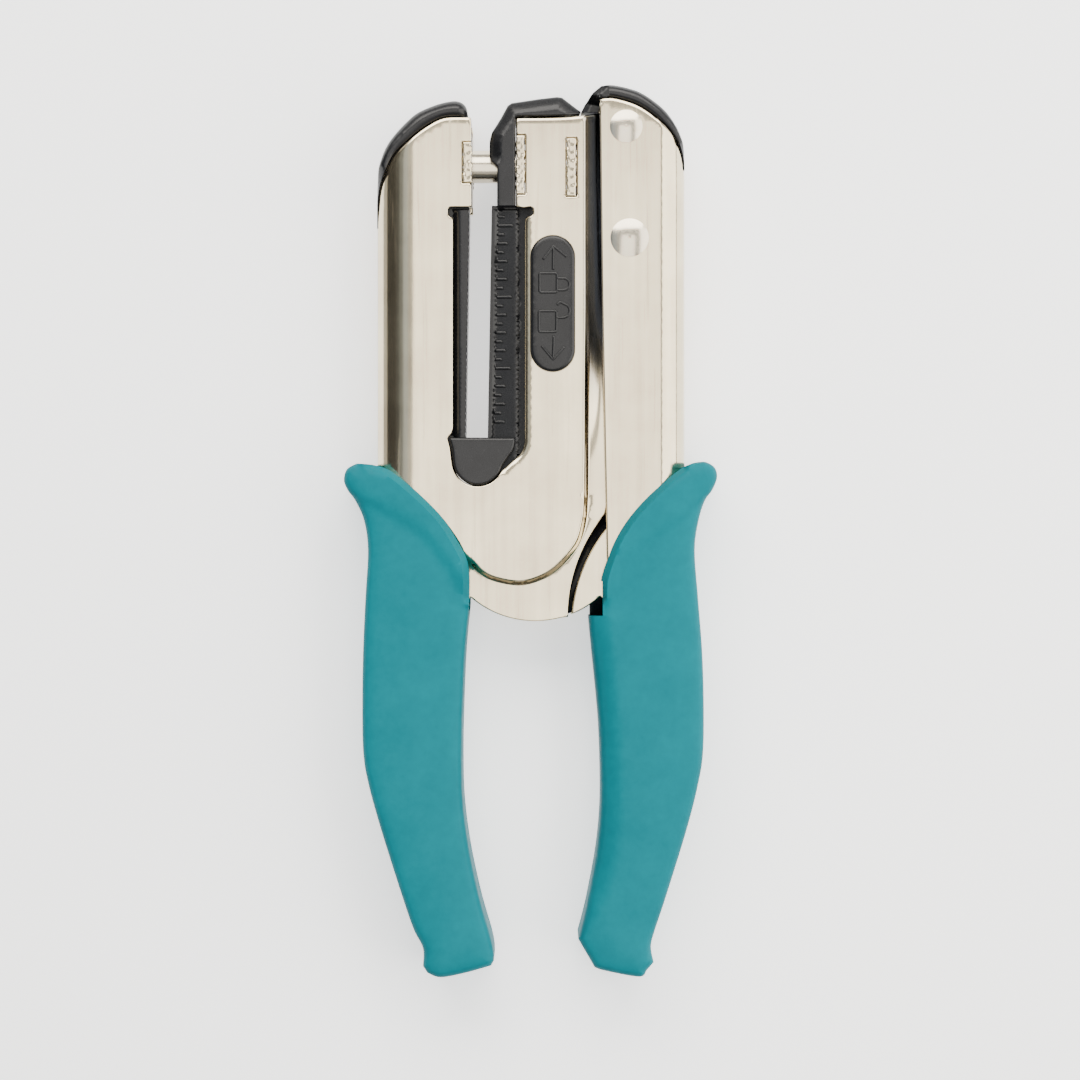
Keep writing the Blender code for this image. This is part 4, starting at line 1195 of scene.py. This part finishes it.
def right_grip():
    outer = smooth([
        (28.9, 12.0), (31.0, 12.2), (32.7, 11.2), (33.15, 9.4), (32.3, 7.2), (31.0, 5.3), (29.9, 1.8),
        (29.2, -3.5), (29.8, -12.0), (30.5, -21.0), (30.8, -30.0), (30.7, -39.0), (29.9, -44.6),
        (27.8, -53.0), (23.9, -65.6), (22.1, -71.0), (21.4, -73.9), (21.9, -76.7)])
    foot = smooth([(20.6, -78.2), (19.3, -79.3), (13.2, -78.2), (11.4, -77.6)])
    inner = smooth([
        (8.5, -72.6), (9.3, -69.6), (10.2, -65.6), (11.8, -56.7), (12.5, -48.0), (12.3, -37.0),
        (11.8, -30.0), (10.9, -21.0), (10.4, -15.2), (10.6, -13.7)])
    corner = [(11.5, -12.9), (12.4, -12.3)]
    mouth = smooth([
        (12.5, -12.2), (12.6, -8.8), (13.7, -5.2), (15.1, -1.7), (17.3, 1.9), (20.3, 5.4), (24.2, 9.0),
        (27.0, 11.2)])
    ledge = smooth([
        (10.5, -19.0), (12.6, -13.5), (14.6, -9.0), (17.0, -5.2), (20.1, -2.3), (23.3, 0.0), (27.2, 2.6),
        (29.4, 4.6), (31.2, 5.8)])
    recess = rectangle(9.0, -15.2, 12.85, -9.0)
    channel = [(LEVER_RIGHT + 2.0, 40.0), (LEVER_RIGHT + 2.0, -8.7), (14.0, -8.7), (12.0, 40.0)]
    tang = [
        (25.0, 40.0), (25.0, -24.2), (14.5, -24.2), (13.5, -15.4), (12.8, -12.0), (2.0, -9.0), (2.0, 40.0)]
    grip("right_sleeve", "right_grip", "lever", outer + foot + inner + corner + mouth, mouth, ledge, inner,
         {"tang": (tang, -FLANGE_HALF - 0.05, FLANGE_HALF + 0.05),
          "channel": (channel, -12.0, 12.0, LEVER_RIGHT, LEVER_FOLD, 0.04),
          "recess": (recess, -12.0, 12.0)})


# Carried-over pieces ------------------------------------------------------

def repaint():
    """Gives the inner pieces that stay as they are the same detailed finishes."""
    looks = {
        BRIGHT: ("pivot_bush", "lock_detent_spring", "drive_roller", "opening_spring", "cross_pin",
                 "lock_screw"),
        PLATE: ("die_plate", "front_guide", "rear_guide", "drive_yoke", "lock_bar")}
    for mat, nodes in looks.items():
        for node in nodes:
            for material_slot in frame["nodes"][node].material_slots:
                material_slot.material = mat


# Stage --------------------------------------------------------------------

def stage():
    """Pale floor, even surroundings, and dark cards that the folds and the steps mirror."""
    paper = Paint("paper", 0.0, 0.9, IOR=1.2, Emission_Color=(1.0, 1.0, 1.0, 1.0), Emission_Strength=0.9)
    paper.colour(paper.blend(paper.noise(9.0, 2.0), [(0.3, (0.90, 0.92, 0.94)), (0.7, (0.92, 0.94, 0.96))]))
    reach = 1500.0
    corners = [(x, y, 0.0) for x, y in rectangle(-reach, -reach, reach, reach)]
    new_piece("floor", corners, [(0, 1, 2, 3)], paper.material)
    left = (-1.0, 0.0)
    near = (0.0, -1.0)
    card("black_card", left, (47.0, 73.0), 0.01)
    card("dark_card", left, (39.0, 47.0), 0.07)
    card("grey_card", left, (31.0, 39.0), 0.25)
    card("pale_card", left, (22.0, 31.0), 0.8)
    card("near_card", near, (55.0, 85.0), 0.1)
    world = bpy.data.worlds.new("studio")
    world.use_nodes = True
    background = world.node_tree.nodes["Background"].inputs
    background["Color"].default_value = (1.0, 0.98, 0.95, 1.0)
    background["Strength"].default_value = 0.8
    bpy.context.scene.world = world


def card(name, direction, span, glow):
    """A screen in a direction, between two angles from the vertical; it shows only in mirrors."""
    paint = Paint(name, 0.0, 0.9, Base_Color=(0.01, 0.01, 0.01, 1.0), Emission_Color=(0.8, 0.9, 1.0, 1.0),
                  Emission_Strength=glow)
    away = 700.0
    half_width = 330.0
    corners = []
    for angle, sign in ((span[0], -1.0), (span[1], -1.0), (span[1], 1.0), (span[0], 1.0)):
        out = away * math.sin(math.radians(angle))
        corners.append((out * direction[0] - sign * half_width * direction[1],
                        out * direction[1] + sign * half_width * direction[0],
                        away * math.cos(math.radians(angle))))
    screen = new_piece(name, corners, [(0, 1, 2, 3)], paint.material)
    screen.visible_camera = False


def panel(name, centre, size, radiance):
    """A soft light that faces the object; it shows only in what it lights."""
    light = bpy.data.lights.new(name, "AREA")
    light.shape = "RECTANGLE"
    light.size = size[0] * MM
    light.size_y = size[1] * MM
    light.energy = radiance * math.pi * light.size * light.size_y
    light.color = (1.0, 0.96, 0.9)
    made = bpy.data.objects.new(name, light)
    made.location = Vector(centre) * MM
    made.rotation_euler = (-made.location).to_track_quat("-Z", "Y").to_euler()
    made.visible_camera = False
    bpy.context.scene.collection.objects.link(made)


def camera():
    """Straight above the middle of the view."""
    view_width = 191.8
    centre = (1.69, -1.69)
    lens = bpy.data.cameras.new("camera")
    lens.sensor_width = 36.0
    lens.lens = 100.0
    made = bpy.data.objects.new("camera", lens)
    height = view_width * lens.lens / lens.sensor_width + MIDDLE + PAN_HALF
    made.location = Vector((*centre, height)) * MM
    bpy.context.scene.collection.objects.link(made)
    bpy.context.scene.camera = made


def main():
    frame_sheet()
    lever_sheet()
    tooth_sheet()
    gap_shade_plate()
    staked_tabs()
    die_cap()
    punch_cap()
    shoulder_cap()
    liner()
    throat_stop()
    scale_marks(1.0, "front")
    scale_marks(-1.0, "back")
    knob()
    punch()
    rivet("pivot_head", PIVOT, 2.9, 2.0, "pivot_rivet")
    rivet("drive_head", DRIVE, 3.4, 1.5, "drive_rivet")
    left_grip()
    right_grip()
    repaint()
    stage()
    panel("overhead", (-5.0, -130.0, 750.0), (390.0, 680.0), 2.7)
    panel("right_side", (560.0, 0.0, 400.0), (740.0, 800.0), 4.0)
    panel("far_side", (-40.0, 560.0, 560.0), (900.0, 520.0), 8.0)
    camera()


main()
